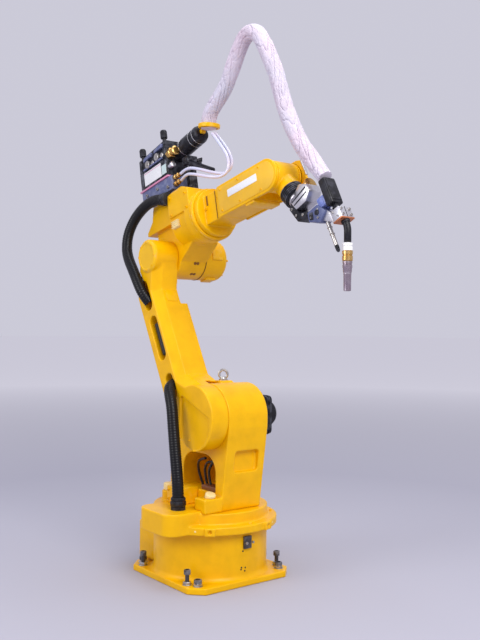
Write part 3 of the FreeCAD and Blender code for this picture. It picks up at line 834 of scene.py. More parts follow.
    def cast(self, name: str, finish: Finish, body: Body, *replaced: str, cell: float = 3.2,
             rounds: int = 7) -> bpy.types.Object:
        """Melt the shape into one casting with soft fillets, and dress it.

        Args:
            name: Name of the piece.
            finish: Its finish.
            body: What it moves with.
            replaced: CAD nodes that it stands for.
            cell: Size of the mesh, in millimetres.
            rounds: Smoothing passes; more gives larger fillets.

        Returns:
            The dressed piece.
        """
        made = self.made(name)
        remesh = made.modifiers.new("melt", "REMESH")
        remesh.mode = "VOXEL"
        remesh.voxel_size = cell * MM
        soften = made.modifiers.new("fillets", "SMOOTH")
        soften.factor = 0.5
        soften.iterations = rounds
        evaluated(made)
        made.data.shade_smooth()
        return dress(made, finish, body, *replaced)


# ------------------------------------------------------------------ repeated fasteners
def head_template(kind: Head) -> bpy.types.Object:
    """Build a screw head of radius 1 that stands on the XY plane.

    Args:
        kind: Which head.

    Returns:
        The template object, linked for the time being.
    """
    shape = Shape(Matrix.Identity(4))
    if kind is Head.HEX:
        shape.turned([(1.18, 0), (1.18, 0.14)], sides=24, bevel=0.04)
        shape.turned([(1.0, 0.14), (1.0, 0.72), (0.86, 0.82)], sides=6, bevel=0.03)
    elif kind is Head.TALL:
        shape.turned([(0.62, 0), (0.62, 0.5), (0.56, 0.55), (0.62, 0.6), (0.62, 3.0), (1.0, 3.05), (1.0, 4.2),
                      (0.9, 4.4), (0.55, 4.4), (0.5, 3.8), (0.0, 3.75)], sides=28)
    else:
        shape.turned([(1.0, 0), (1.0, 0.86), (0.9, 0.98), (0.56, 0.98), (0.5, 0.5), (0.0, 0.46)], sides=24)
    return shape.made("head_" + kind.value)


def fastener_tree() -> bpy.types.NodeTree:
    """Build the tree that stands a head on every point, along the point's facing.

    Returns:
        A geometry tree with inputs Template, Turn spread, Seed and Finish.
    """
    tree = bpy.data.node_groups.new("fasteners", "GeometryNodeTree")
    for label, kind in (("Geometry", "Geometry"), ("Template", "Object"), ("Turn spread", "Float"),
                        ("Seed", "Int"), ("Finish", "Material")):
        tree.interface.new_socket(name=label, in_out="INPUT", socket_type="NodeSocket" + kind)
    tree.interface.new_socket(name="Geometry", in_out="OUTPUT", socket_type="NodeSocketGeometry")
    start, end = tree.nodes.new("NodeGroupInput"), tree.nodes.new("NodeGroupOutput")
    template = tree.nodes.new("GeometryNodeObjectInfo")
    facing = add_node(tree, "GeometryNodeInputNamedAttribute", data_type="FLOAT_VECTOR")
    facing.inputs["Name"].default_value = "facing"
    size = add_node(tree, "GeometryNodeInputNamedAttribute", data_type="FLOAT")
    size.inputs["Name"].default_value = "size"
    align = add_node(tree, "FunctionNodeAlignRotationToVector", axis="Z")
    angle = add_node(tree, "FunctionNodeRandomValue", data_type="FLOAT")
    spin = tree.nodes.new("FunctionNodeAxisAngleToRotation")
    turn = add_node(tree, "FunctionNodeRotateRotation", rotation_space="LOCAL")
    place = tree.nodes.new("GeometryNodeInstanceOnPoints")
    real = tree.nodes.new("GeometryNodeRealizeInstances")
    paint = tree.nodes.new("GeometryNodeSetMaterial")
    wires = [(start.outputs["Template"], template.inputs["Object"]),
             (facing.outputs["Attribute"], align.inputs["Vector"]),
             (start.outputs["Turn spread"], angle.inputs["Max"]),
             (start.outputs["Seed"], angle.inputs["Seed"]),
             (angle.outputs["Value"], spin.inputs["Angle"]),
             (align.outputs["Rotation"], turn.inputs["Rotation"]),
             (spin.outputs["Rotation"], turn.inputs["Rotate By"]),
             (start.outputs["Geometry"], place.inputs["Points"]),
             (template.outputs["Geometry"], place.inputs["Instance"]),
             (turn.outputs["Rotation"], place.inputs["Rotation"]),
             (size.outputs["Attribute"], place.inputs["Scale"]),
             (place.outputs["Instances"], real.inputs["Geometry"]),
             (real.outputs["Geometry"], paint.inputs["Geometry"]),
             (start.outputs["Finish"], paint.inputs["Material"]),
             (paint.outputs["Geometry"], end.inputs["Geometry"])]
    for first, second in wires:
        tree.links.new(first, second)
    for socket in angle.inputs:
        if socket.name == "Min" and socket.type == "VALUE":
            socket.default_value = 0.0
    return tree


@dataclass
class Fasteners:
    """Screws of one kind on one body, stood on their points by Geometry Nodes."""

    TURN_SPREAD = 6.28
    SEED = 7

    name: str
    body: Body
    kind: Head
    finish: Finish

    def __post_init__(self) -> None:
        """Start with no points."""
        self.points: list[tuple[Vector, Vector, float]] = []

    def add(self, place: Matrix, direction: Point, radius: float, *spots: Point) -> "Fasteners":
        """Add heads of one radius at points of a joint's frame.

        Args:
            place: The joint's frame.
            direction: The way the heads face.
            radius: Radius of a head.
            spots: Where they stand.

        Returns:
            These fasteners.
        """
        out = (place.to_3x3() @ Vector(direction)).normalized()
        self.points += [(place @ Vector(spot), out, radius * MM) for spot in spots]
        return self

    def circle(self, place: Matrix, centre: Point, direction: Point, across: float, count: int,
               radius: float, first: float = 0.0) -> "Fasteners":
        """Add heads on a circle of a radius across the direction.

        Args:
            place: The joint's frame.
            centre: Centre of the circle.
            direction: The way the heads face.
            across: Radius of the circle.
            count: How many heads.
            radius: Radius of a head.
            first: Angle of the first, in degrees.

        Returns:
            These fasteners.
        """
        turn = Vector(direction).to_track_quat("Z", "Y")
        spots = []
        for i in range(count):
            a = math.radians(first) + 2 * math.pi * i / count
            spots.append(Vector(centre) + turn @ Vector((across * math.cos(a), across * math.sin(a), 0)))
        return self.add(place, direction, radius, *spots)

    def piece(self) -> bpy.types.Object:
        """Run the tree and keep its result as a plain mesh.

        Returns:
            The dressed piece.
        """
        mesh = bpy.data.meshes.new(self.name)
        mesh.from_pydata([point for point, _, _ in self.points], [], [])
        mesh.attributes.new("facing", "FLOAT_VECTOR", "POINT")
        mesh.attributes.new("size", "FLOAT", "POINT")
        for i, (_, out, radius) in enumerate(self.points):
            mesh.attributes["facing"].data[i].vector = out
            mesh.attributes["size"].data[i].value = radius
        made = link(self.name, mesh)
        template = head_template(self.kind)
        modifier = made.modifiers.new("fasteners", "NODES")
        modifier.node_group = FASTENER_TREE
        values = {"Template": template, "Turn spread": self.TURN_SPREAD, "Seed": self.SEED,
                  "Finish": self.finish.material()}
        for item in FASTENER_TREE.interface.items_tree:
            if item.in_out == "INPUT" and item.name in values:
                modifier[item.identifier] = values[item.name]
        evaluated(made)
        bpy.data.objects.remove(template)
        smooth(made.data)
        return dress(made, self.finish, self.body)


FASTENER_TREE = fastener_tree()


# ------------------------------------------------------------------ cords
def nurbs_curve(name: str, route: Sequence[Point], steps: int = 12) -> bpy.types.Curve:
    """Make a smooth curve over control points.

    Args:
        name: Name of the curve.
        route: Its control points in metres.
        steps: Steps for each control point.

    Returns:
        The curve, of no thickness.
    """
    curve = bpy.data.curves.new(name, "CURVE")
    curve.dimensions = "3D"
    spline = curve.splines.new("NURBS")
    spline.points.add(len(route) - 1)
    for point, spot in zip(spline.points, route):
        point.co = (*spot, 1)
    spline.order_u = 3
    spline.use_endpoint_u = True
    spline.resolution_u = steps
    return curve


def spline_points(route: Sequence[Point]) -> list[Vector]:
    """Read the smooth line of a cord.

    Args:
        route: Control points of its spline, in metres.

    Returns:
        Points along the spline, in metres.
    """
    holder = link("line", nurbs_curve("line", route))
    graph = bpy.context.evaluated_depsgraph_get()
    mesh = bpy.data.meshes.new_from_object(holder.evaluated_get(graph), depsgraph=graph)
    line = [vertex.co.copy() for vertex in mesh.vertices]
    bpy.data.objects.remove(holder)
    bpy.data.meshes.remove(mesh)
    return line


def run_length(line: Sequence[Vector]) -> float:
    """Length of a line of points."""
    return sum((b - a).length for a, b in zip(line, line[1:]))


def even(line: Sequence[Vector], step: float) -> list[Vector]:
    """Space a line's points evenly, about a step apart.

    Args:
        line: The points.
        step: The wished step.

    Returns:
        The new points, both ends kept.
    """
    total = run_length(line)
    count = max(2, round(total / step))
    result, walked, index = [line[0].copy()], 0.0, 0
    for i in range(1, count):
        target = total * i / count
        while walked + (line[index + 1] - line[index]).length < target:
            walked += (line[index + 1] - line[index]).length
            index += 1
        run = line[index + 1] - line[index]
        result.append(line[index] + run * ((target - walked) / run.length))
    result.append(line[-1].copy())
    return result


def tube_mesh(name: str, line: Sequence[Vector], reach: Callable[[float, float], float],
              sides: int) -> bpy.types.Mesh:
    """Skin a closed tube along a line.

    Args:
        name: Name of the mesh.
        line: Its centreline in metres.
        reach: Gives the radius at a length along the line and an angle round it.
        sides: Steps round it.

    Returns:
        The mesh, with a map of the way round and along, in metres.
    """
    solid = bmesh.new()
    layer = solid.loops.layers.uv.new("around_along")
    side = Vector((0, 1, 0))
    rings, lengths = [], [0.0]
    for a, b in zip(line, line[1:]):
        lengths.append(lengths[-1] + (b - a).length)
    for i, spot in enumerate(line):
        ahead = (line[min(i + 1, len(line) - 1)] - line[max(i - 1, 0)]).normalized()
        side = (side - ahead * side.dot(ahead)).normalized()
        up = ahead.cross(side)
        ring = []
        for k in range(sides):
            angle = 2 * math.pi * k / sides
            out = side * math.cos(angle) + up * math.sin(angle)
            ring.append(solid.verts.new(spot + out * reach(lengths[i], angle)))
        rings.append(ring)
    around = 2 * math.pi * reach(0.0, 0.0)
    for i, (low, high) in enumerate(zip(rings, rings[1:])):
        for k in range(sides):
            n = (k + 1) % sides
            face = solid.faces.new((low[k], low[n], high[n], high[k]))
            for loop, (u, v) in zip(face.loops, ((k, i), (k + 1, i), (k + 1, i + 1), (k, i + 1))):
                loop[layer].uv = (u / sides * around, lengths[v])
    solid.faces.new(rings[0][::-1])
    solid.faces.new(rings[-1])
    bmesh.ops.recalc_face_normals(solid, faces=solid.faces)
    mesh = bpy.data.meshes.new(name)
    solid.to_mesh(mesh)
    solid.free()
    smooth(mesh, 50)
    return mesh


class Cord:
    """A conduit, hose, sleeve or cable that the arm holds all the way along."""

    LONGEST_STEP = 2.5

    def __init__(self, name: str, route: Sequence[Point], diameter: float, finish: Finish,
                 place: Matrix = WORLD) -> None:
        """Keep the route in millimetres of a frame, and read its smooth line in metres.

        Args:
            name: Name of the piece.
            route: Control points in millimetres of a frame.
            diameter: In millimetres.
            finish: What it is made of.
            place: The frame of the route.
        """
        self.name, self.diameter, self.finish = name, diameter * MM, finish
        self.route = [place @ Vector(spot) for spot in route]
        self.line = even(spline_points(self.route), min(self.LONGEST_STEP, diameter / 4) * MM)

    def declare(self, piece: bpy.types.Object) -> bpy.types.Object:
        """Args:
            piece: The piece.

        Returns:
            The same piece.
        """
        log.info("cord %s, %.0f mm long", self.name, run_length(self.line) / MM)
        return piece

    def curve(self, body: Body, node: str) -> bpy.types.Object:
        """Make a plain round cord on one body.

        Args:
            body: What it moves with.
            node: The CAD node it stands for.

        Returns:
            The declared piece.
        """
        data = nurbs_curve(self.name, self.route)
        data.bevel_depth = self.diameter / 2
        data.bevel_resolution = 6
        data.use_fill_caps = True
        made = link(self.name, data)
        dress(made, self.finish, body, node)
        return self.declare(made)

    def tube(self, reach: Callable[[float, float], float], sides: int,
             node: str) -> bpy.types.Object:
        """Make a shaped tube along the cord's line.

        Args:
            reach: Radius at a length along it and an angle round it, in metres.
            sides: Steps round it.
            node: The CAD node it stands for.

        Returns:
            The declared piece.
        """
        made = link(self.name, tube_mesh(self.name, self.line, reach, sides))
        made.data.materials.append(self.finish.material())
        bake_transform(made)
        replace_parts(made, node)
        return self.declare(made)


# ------------------------------------------------------------------ outlines
def arc(centre: tuple[float, float], radius: float, first: float, sweep: float, steps: int) -> Outline:
    """Give points round a centre, from a first angle over a sweep in degrees.

    Args:
        centre: Its centre.
        radius: Its radius.
        first: Its first angle in degrees.
        sweep: How far it goes on, in degrees.
        steps: Steps between its ends.

    Returns:
        The points, both ends kept.
    """
    turns = [math.radians(first + sweep * i / steps) for i in range(steps + 1)]
    return [(centre[0] + radius * math.cos(a), centre[1] + radius * math.sin(a)) for a in turns]


def rounded_outline(x0: float, x1: float, z0: float, z1: float, corner: float, steps: int = 5) -> Outline:
    """Outline of a rectangle with round corners.

    Args:
        x0: Its first side.
        x1: Its last side.
        z0: Its lower side.
        z1: Its upper side.
        corner: Radius of the corners.
        steps: Steps of a corner.

    Returns:
        The outline.
    """
    result = []
    for cx, cz, first in ((x1 - corner, z1 - corner, 0), (x0 + corner, z1 - corner, 90),
                          (x0 + corner, z0 + corner, 180), (x1 - corner, z0 + corner, 270)):
        result += arc((cx, cz), corner, first, 90, steps)
    return result


def bar_outline(x0: float, x1: float, z: float, half: float, corner: float = 8, steps: int = 24) -> Outline:
    """Outline of a bar with one round end and two rounded corners.

    Args:
        x0: Its square end.
        x1: Centre of its round end.
        z: Level of its middle.
        half: Half its width.
        corner: Radius of the corners.
        steps: Steps of the round end.

    Returns:
        The outline.
    """
    result = arc((x1, z), half, -90, 180, steps)
    for cz, first in ((z + half - corner, 90), (z - half + corner, 180)):
        result += arc((x0 + corner, cz), corner, first, 90, 4)
    return result


# ------------------------------------------------------------------ sub-assemblies
@dataclass
class Foot:
    """Foot plate, drum, connector box and the bolts in the floor."""

    anchor: float = 165
    jack: tuple[float, float] = (133, 184)
    plate_top: float = 20
    drum: float = 192

    def build(self) -> None:
        """Build and dress every piece of the foot."""
        Shape().copy_of("base_casting").cast("foot_casting", Finishes.CASTING, Body.BASE, "base_casting")
        self.bolts()
        self.connectors()
        Shape().copy_of("stop_block").machined("stop_block_steel", Finishes.OXIDE, Body.BASE, 2, "stop_block")
        Fasteners("stop_block_screws", Body.BASE, Head.SOCKET, Finishes.ZINC).add(
            WORLD, (0.999, 0.035, 0), 4.2, (207.5, 20, 139), (208.5, -6, 139)).piece()
        # Dark discs painted as the shade inside the holes of the drum.
        plugs = Shape()
        for angle, level in ((-4, 58), (0.5, 56), (-4.5, 52), (0, 46), (-2.5, 110)):
            a = math.radians(angle)
            out, up = Vector((math.cos(a), math.sin(a), 0)), Vector((0, 0, level))
            plugs.rod(out * (self.drum - 3) + up, out * (self.drum + 0.8) + up, 2.8, 0.4)
        plugs.piece("drum_hole_plugs", Finishes.RECESS_SHADE, Body.BASE)

    def bolts(self) -> None:
        """Stand the anchors and jack bolts on the plate."""
        spots = [(sx * self.anchor, sy * self.anchor, self.plate_top) for sx in (-1, 1) for sy in (-1, 1)]
        washers = Fasteners("pale_nuts", Body.BASE, Head.HEX, Finishes.ZINC).add(WORLD, (0, 0, 1), 14, *spots)
        anchors = Fasteners("anchor_heads", Body.BASE, Head.SOCKET, Finishes.OXIDE)
        anchors.add(WORLD, (0, 0, 1), 13, *[(x, y, z + 8) for x, y, z in spots])
        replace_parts(anchors.piece(), "floor_bolts")
        spots = [(sx * self.jack[0], sy * self.jack[1], self.plate_top) for sx in (-1, 1) for sy in (-1, 1)]
        jacks = Fasteners("jack_heads", Body.BASE, Head.TALL, Finishes.OXIDE)
        jacks.add(WORLD, (0, 0, 1), 10.8, *spots)
        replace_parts(jacks.piece(), "jack_bolts")
        washers.add(WORLD, (0, 0, 1), 13.5, *spots).piece()

    def connectors(self) -> None:
        """Build the box for the robot's cables at the back of the drum."""
        Shape().copy_of("connector_box").machined("connector_box_shell", Finishes.CASTING, Body.BASE, 6,
                                                  "connector_box")
        plate = Shape().prism(rounded_outline(-128, 128, 36, 140, 8), -239, -235, 1, "x")
        plate.piece("connector_plate", Finishes.COVER, Body.BASE)
        sockets = Shape()
        for y in (-84, -28):
            sockets.box((-244, y - 22, 66), (-238, y + 22, 112), 3)
            sockets.box((-250, y - 17, 71), (-243, y + 17, 107), 3)
        for y in (36, 84):
            sockets.turned([(19, 0), (19, 5), (15, 6), (15, 12), (11, 12), (11, 4), (0, 4)], (-238, y, 90),
                           (-1, 0, 0))
        sockets.piece("connector_sockets", Finishes.BLACK_PLASTIC, Body.BASE)
        screws = Fasteners("connector_plate_screws", Body.BASE, Head.SOCKET, Finishes.ZINC)
        spots = [(-239, y, z) for y in (-120, -40, 40, 120) for z in (44, 132)]
        screws.add(WORLD, (-1, 0, 0), 3.2, *spots).piece()


@dataclass
class Column:
    """Turntable, shoulder column, its motor and what stands beside them."""

    shoulder: tuple[float, float] = (80, 535)
    lobe_top: float = 243
    column_top: float = 651
    motor_side: float = 130
    motor_end: float = 149

    def build(self) -> None:
        """Build and dress every piece of the column."""
        Shape().copy_of("turntable").cast("turntable_casting", Finishes.CASTING, Body.SWIVEL, "turntable",
                                          cell=3.0, rounds=3)
        Shape().copy_of("shoulder_column").cast("column_casting", Finishes.CASTING, Body.SWIVEL,
                                                "shoulder_column", cell=2.8, rounds=3)
        self.motor()
        self.fittings()
        self.cable_bay()

    def motor(self) -> None:
        """Build the motor of the shoulder with its cap, plug and screws."""
        x, z = self.shoulder
        half = self.motor_side / 2
        body = Shape().prism(rounded_outline(x - half, x + half, z - half, z + half, 16), 95,
                             self.motor_end, 1.5)
        body.turned([(46, 0), (46, 4), (43, 5), (43, 36), (38, 43), (0, 43)],
                    (x, self.motor_end, z), (0, 1, 0), 56)
        body.box((x - 24, 104, z + half - 2), (x + 24, 140, z + half + 9), 3)
        for level in (108, 122, 136):
            body.prism(rounded_outline(x - half - 1.6, x + half + 1.6, z - half - 1.6, z + half + 1.6, 17),
                       level, level + 4, 0.8)
        body.piece("shoulder_motor_body", Finishes.BLACK_METAL, Body.SWIVEL, "shoulder_motor")
        corners = [(x + sx * 52, self.motor_end, z + sz * 52) for sx in (-1, 1) for sz in (-1, 1)]
        Fasteners("shoulder_motor_screws", Body.SWIVEL, Head.SOCKET, Finishes.ZINC).add(
            WORLD, (0, 1, 0), 5, *corners).piece()
        plug = Shape().rod((x - 10, 122, z + half + 8), (x - 10, 122, z + half + 12), 13, 1)
        plug.piece("shoulder_motor_plug", Finishes.BLACK_PLASTIC, Body.SWIVEL)

    def fittings(self) -> None:
        """Build the lifting eye, bumpers, gland, cable block and small marks."""
        top = self.column_top
        eye = Shape().turned([(15, 0), (15, 4), (9, 6), (8, 9)], (40, 20, top))
        eye.ring(14, 4.5, (40, 20, top + 21), (0.75, -0.66, 0), 48)
        eye.turned([(6.5, 0), (4.5, 5)], (40, 20, top + 5))
        eye.piece("lifting_eye_steel", Finishes.ZINC, Body.SWIVEL, "lifting_eye")
        bumpers = Shape().copy_of("stop_bumpers")
        bumpers.machined("stop_bumpers_pads", Finishes.CAP, Body.SWIVEL, 3, "stop_bumpers")
        gland = Shape().turned([(24, 0), (24, 10), (22, 11), (22, 30), (24, 31), (24, 37), (21.5, 40),
                                (21, 40)], (66, -176, self.lobe_top))
        gland.hexagon((66, -176, self.lobe_top + 12), (66, -176, self.lobe_top + 28), 26, 1.5)
        gland.piece("conduit_gland_nut", Finishes.BLACK_PLASTIC, Body.SWIVEL, "conduit_gland")
        Shape().copy_of("cable_block").machined("cable_block_cover", Finishes.CASTING, Body.SWIVEL, 4,
                                                "cable_block")
        screws = Fasteners("swivel_screws", Body.SWIVEL, Head.SOCKET, Finishes.CASTING)
        screws.add(WORLD, (0, -1, 0), 4, (-46, -140, 286), (8, -140, 286), (-46, -140, 256), (8, -140, 256))
        screws.circle(WORLD, (0, 0, 199.5), (0, 0, 1), 209, 6, 4.5, 62).piece()
        dots = Shape()
        for angle in (-48, 30):
            a = math.radians(angle)
            out = Vector((math.cos(a), math.sin(a), 0))
            dots.rod(out * 224.6 + Vector((0, 0, 187)), out * 225.8 + Vector((0, 0, 187)), 3.2, 0.3, 20)
        dots.piece("turntable_dots", Finishes.CAP, Body.SWIVEL)

    def cable_bay(self) -> None:
        """Build the plugs and cables behind the opening of the column."""
        box = Shape().box((70, 21, 290), (108, 71, 372), 3).box((30, -60, 290), (112, -20, 306), 2)
        box.box((104, 26, 300), (111, 66, 362), 1.5)
        for z in (312, 330, 348):
            box.rod((108, 36, z), (113, 36, z), 5).rod((108, 55, z), (113, 55, z), 5)
        box.piece("terminal_plate", Finishes.BROWN, Body.SWIVEL, "terminal_box")
        routes = [[(10, -20, 291), (2, -24, 326), (8, -30, 358), (34, -34, 382), (70, -32, 384)],
                  [(-30, -10, 291), (-42, -18, 326), (-34, -30, 360), (-6, -42, 384), (34, -46, 392)],
                  [(56, -40, 307), (50, -44, 334), (58, -48, 366), (84, -48, 388)]]
        for i, route in enumerate(routes):
            Cord(f"motor_cable_{i + 1}", route, 9, Finishes.CABLE).curve(Body.SWIVEL, "column_cables")


@dataclass
class LowerArm:
    """The leaning lower arm, in the shoulder's frame: x is its front, z runs along it."""

    length: float = 615
    outer: float = -132

    def build(self) -> None:
        """Build and dress every piece of the lower arm."""
        Shape().copy_of("lower_arm_casting").cast("lower_arm_shell", Finishes.CASTING, Body.LOWER_ARM,
                                                  "lower_arm_casting", cell=2.5, rounds=2)
        cover = Shape(SHOULDER).turned([(58, 0), (58, 2), (52, 7), (46, 7.5), (44, 6), (0, 6)],
                                       (0, self.outer + 1, self.length), (0, -1, 0), 72)
        cover.piece("elbow_disc_cover", Finishes.COVER, Body.LOWER_ARM, "elbow_side_cover")
        screws = Fasteners("lower_arm_screws", Body.LOWER_ARM, Head.SOCKET, Finishes.CASTING)
        screws.circle(SHOULDER, (0, self.outer - 5, self.length), (0, -1, 0), 49, 8, 3, 20)
        screws.add(SHOULDER, (0, -1, 0), 3.5, (-62, self.outer + 9, -52), (-94, self.outer, 60)).piece()
        plate = Shape(SHOULDER).prism(rounded_outline(-92, -50, 442, 486, 4), -10.6, -8.0, 0.8, "x")
        plate.piece("front_plate", Finishes.CASTING, Body.LOWER_ARM)
        cables = Shape().copy_of("arm_cables")
        cables.machined("arm_cable_bundle", Finishes.CABLE, Body.LOWER_ARM, 3, "arm_cables")


@dataclass
class Elbow:
    """Elbow casting, its motor barrel and the small parts on them, in the elbow's frame."""

    axis: float = 90

    def build(self) -> None:
        """Build and dress every piece of the elbow."""
        Shape().copy_of("elbow_casting").cast("elbow_shell", Finishes.CASTING, Body.ELBOW, "elbow_casting",
                                              cell=2.3, rounds=3)
        Shape().copy_of("elbow_motor_cover").machined("elbow_barrel_cover", Finishes.CASTING, Body.ELBOW, 3,
                                                      "elbow_motor_cover")
        rims = Shape(ELBOW)
        for x in (224, 234):
            rims.turned([(88, -2), (92.2, -1.5), (92.2, 1.5), (88, 2)], (x, 0, self.axis), (1, 0, 0), 96)
        rims.piece("collar_rims", Finishes.COVER, Body.ELBOW)
        stopper = Shape(ELBOW).box((110, -89, 68), (146, -44, 96), 3)
        for z in (70, 77, 84, 91):
            stopper.box((107, -91, z), (149, -46, z + 3.5), 1.4)
        stopper.piece("elbow_stopper_pad", Finishes.CAP, Body.ELBOW, "elbow_stopper")
        self.conduit_end()
        self.marks()

    def conduit_end(self) -> None:
        """Build the nut that holds the black conduit at the back."""
        level = Matrix.Rotation(math.radians(12.5), 4, "Y")
        place = ELBOW @ Matrix.Translation((95, -84, 186)) @ level
        nut = Shape(place).turned([(20.6, -27), (23, -26), (23, -20), (21, -19), (21, -6), (24, -5), (24, 4),
                                   (20, 5)], axis=(1, 0, 0))
        nut.hexagon((-17, 0, 0), (-7, 0, 0), 25, 1.5)
        nut.piece("conduit_fitting_nut", Finishes.BLACK_PLASTIC, Body.ELBOW, "conduit_fitting")

    def marks(self) -> None:
        """Build the screws of the barrel and box, the painted shade of the barrel's seam and slots, and the
        barrel's pads.
        """
        screws = Fasteners("elbow_screws", Body.ELBOW, Head.SOCKET, Finishes.CASTING)
        screws.circle(ELBOW, (0, 171, 0), (0, 1, 0), 60, 6, 4, 15)
        for side in (-1, 1):
            spots = [(x, side * 88, z) for x, z in ((112, 180), (206, 168), (112, 118), (206, 118))]
            screws.add(ELBOW, (0, side, 0), 4.5, *spots)
        screws.piece()
        # A dark ring painted as the shade in the barrel's seam.
        seam = Shape(ELBOW).turned([(72, -1.2), (76.2, -1.2), (76.2, 1.2), (72, 1.2)], (0, 70, 0), (0, 1, 0),
                                   96)
        seam.piece("barrel_seam", Finishes.SLOT_AND_SEAM_SHADE, Body.ELBOW)
        # Dark discs painted as the shade in the barrel's slots.
        slots = Shape(ELBOW)
        for angle in (-28, -62):
            a = math.radians(angle)
            out = Vector((math.cos(a), 0, math.sin(a)))
            low, high = out * 74.2, out * 75.6
            for y in (22, 34):
                slots.rod((low.x, y, low.z), (high.x, y, high.z), 6, 0.3)
        slots.piece("barrel_slots", Finishes.SLOT_AND_SEAM_SHADE, Body.ELBOW)
        pads = Shape(ELBOW).box((62, 96, -20), (79, 140, 20), 3).box((-20, 96, -80), (20, 140, -68), 3)
        pads.piece("barrel_pads", Finishes.CASTING, Body.ELBOW)


@dataclass
class WireFeeder:
    """The wire feeder on the elbow, in the elbow's frame."""

    back: float = -108
    front: float = 78
    right: float = -60
    left: float = 40
    floor: float = 285
    roof_back: float = 405
    roof_front: float = 421
    feed: float = 364

    def build(self) -> None:
        """Build and dress every piece of the feeder."""
        self.stand()
        self.housing()
        self.drive()
        self.motor()
        self.ring()
        self.hoses()

    def stand(self) -> None:
        """Build the plates that carry the feeder and the bar under its motor."""
        plate = Shape(ELBOW).box((-36, -46, 200), (90, 50, 226), 3).box((self.back + 4, self.right, 226),
                                                                       (98, self.left, 278), 3)
        plate.piece("feeder_carrier", Finishes.BLUE, Body.ELBOW, "feeder_base_plate")
        rail = Shape(ELBOW).box((self.back - 2, self.right - 4, 278), (82, self.left, self.floor), 1.5)
        rail.piece("feeder_rail_strip", Finishes.PINK, Body.ELBOW, "feeder_rail")
        Fasteners("feeder_plate_screws", Body.ELBOW, Head.SOCKET, Finishes.ZINC).add(
            ELBOW, (0, -1, 0), 6, (-66, -60, 256), (6, -60, 256), (74, -60, 240)).piece()
        stand = Shape(ELBOW).box((125, -16, 214), (150, 16, 330), 3)
        stand.rod((130, -16, 322), (238, 22, 250), 11, 2)
        stand.box((118, -22, 306), (157, 22, 336), 4)
        stand.piece("feeder_stand_bar", Finishes.BLACK_METAL, Body.ELBOW, "feeder_stand")
        wing = Shape(ELBOW).turned([(6, 0), (6, 12), (9, 13), (9, 22), (5, 24), (0, 24)], (190, 5, 288))
        wing.box((176, 2, 303), (204, 8, 311), 2)
        wing.piece("stand_wing_knob", Finishes.BLACK_PLASTIC, Body.ELBOW)

    def housing(self) -> None:
        """Build the black housing with its window plate, arms and label."""
        outline = [(self.back, self.floor), (self.front, self.floor), (self.front, self.roof_front),
                   (self.back, self.roof_back)]
        body = Shape(ELBOW).prism(outline, self.right + 3, self.left, 4, segments=3)
        body.prism([(-104, 289), (74, 289), (74, 350), (-104, 350)], self.right, self.right + 4, 2)
        body.prism([(-104, 352), (-88, 352), (-84, 400), (-100, 400)], self.right, self.right + 4, 2)
        body.prism([(60, 352), (75, 352), (75, 412), (64, 412)], self.right, self.right + 4, 2)
        body.box((-96, self.left - 1, 300), (66, self.left + 6, 384), 6)
        for x in range(-84, 64, 14):
            body.box((x, self.left + 4, 308), (x + 5, self.left + 8.5, 376), 1.5)
        body.piece("feeder_case", Finishes.BLACK_METAL, Body.ELBOW, "feeder_housing")
        label = Shape(ELBOW).box((-75, -61, 295), (40, -59.6, 345), 0.3, 1)
        label.piece("feeder_label_film", Finishes.WHITE, Body.ELBOW, "feeder_label")
        Shape(ELBOW).box((-73, -61.3, 339), (38, -60.5, 341.2), 0.1, 1).piece(
            "feeder_label_line", Finishes.PINK, Body.ELBOW)
        Shape(ELBOW).box((44, -61, 296), (72, -59.6, 330), 0.3, 1).piece(
            "feeder_label_small", Finishes.LABEL_INK, Body.ELBOW)

    def drive(self) -> None:
        """Build the drive rolls, pressure arms, knobs and fittings."""
        rolls = Shape(ELBOW)
        for x, z in ((-36, 366), (28, 371)):
            rolls.turned([(14, 0), (14, 3), (12.4, 4), (14, 5), (14, 8.5), (12, 10), (5, 10), (5, 12),
                          (0, 12)], (x, -60, z), (0, -1, 0), 48)
            rolls.turned([(9, 0), (9, 5), (7, 6), (0, 6)], (x + 30, -59, z - 4), (0, -1, 0), 32)
        rolls.piece("drive_roll_set", Finishes.ZINC, Body.ELBOW, "drive_rolls")
        arms = Shape(ELBOW)
        for x, z in ((-62, 384), (12, 390)):
            arms.prism([(x, z), (x + 52, z + 4), (x + 56, z + 18), (x + 4, z + 12)], -68, -57, 2)
        arms.prism([(-70, 352), (58, 354), (58, 360), (-70, 358)], -66, -58, 1.5)
        arms.piece("pressure_arms", Finishes.BLUE, Body.ELBOW)
        knobs = Shape(ELBOW)
        for x, seat in ((-93, 405.8), (58, 419)):
            knobs.turned([(7, -5), (7, 13), (12, 15), (12, 40), (10, 45), (0, 46)], (x, -44, seat), sides=40)
            for grip_x, grip_y in arc((x, -44), 11.4, 0, 360, 16)[:-1]:
                knobs.box((grip_x - 1.1, grip_y - 1.1, seat + 17), (grip_x + 1.1, grip_y + 1.1, seat + 41),
                          0.5, 1)
        knobs.piece("pressure_knob_pair", Finishes.BLACK_PLASTIC, Body.ELBOW, "pressure_knobs")
        brass = Shape(ELBOW).hexagon((78, -44, self.feed), (100, -44, self.feed), 19, 1.5)
        brass.turned([(14, 0), (14, 14), (16, 15), (16, 22), (12, 24), (8, 24)], (100, -44, self.feed),
                     (1, 0, 0), 40)
        for z in (268, 244):
            brass.hexagon((98, -46, z), (110, -46, z), 10.5, 1)
            brass.turned([(7, 0), (7, 8), (9, 9), (9, 16), (6, 18), (6.4, 30), (5, 30)], (110, -46, z),
                         (1, 0, 0), 32)
        brass.piece("feeder_brass", Finishes.BRASS, Body.ELBOW, "brass_fittings")
        steel = Shape(ELBOW).turned([(9, 0), (9, 12), (11, 13), (11, 22), (7, 24), (0, 24)], (78, -46, 318),
                                    (1, 0, 0.1))
        steel.piece("feeder_outlet", Finishes.SILVER, Body.ELBOW)

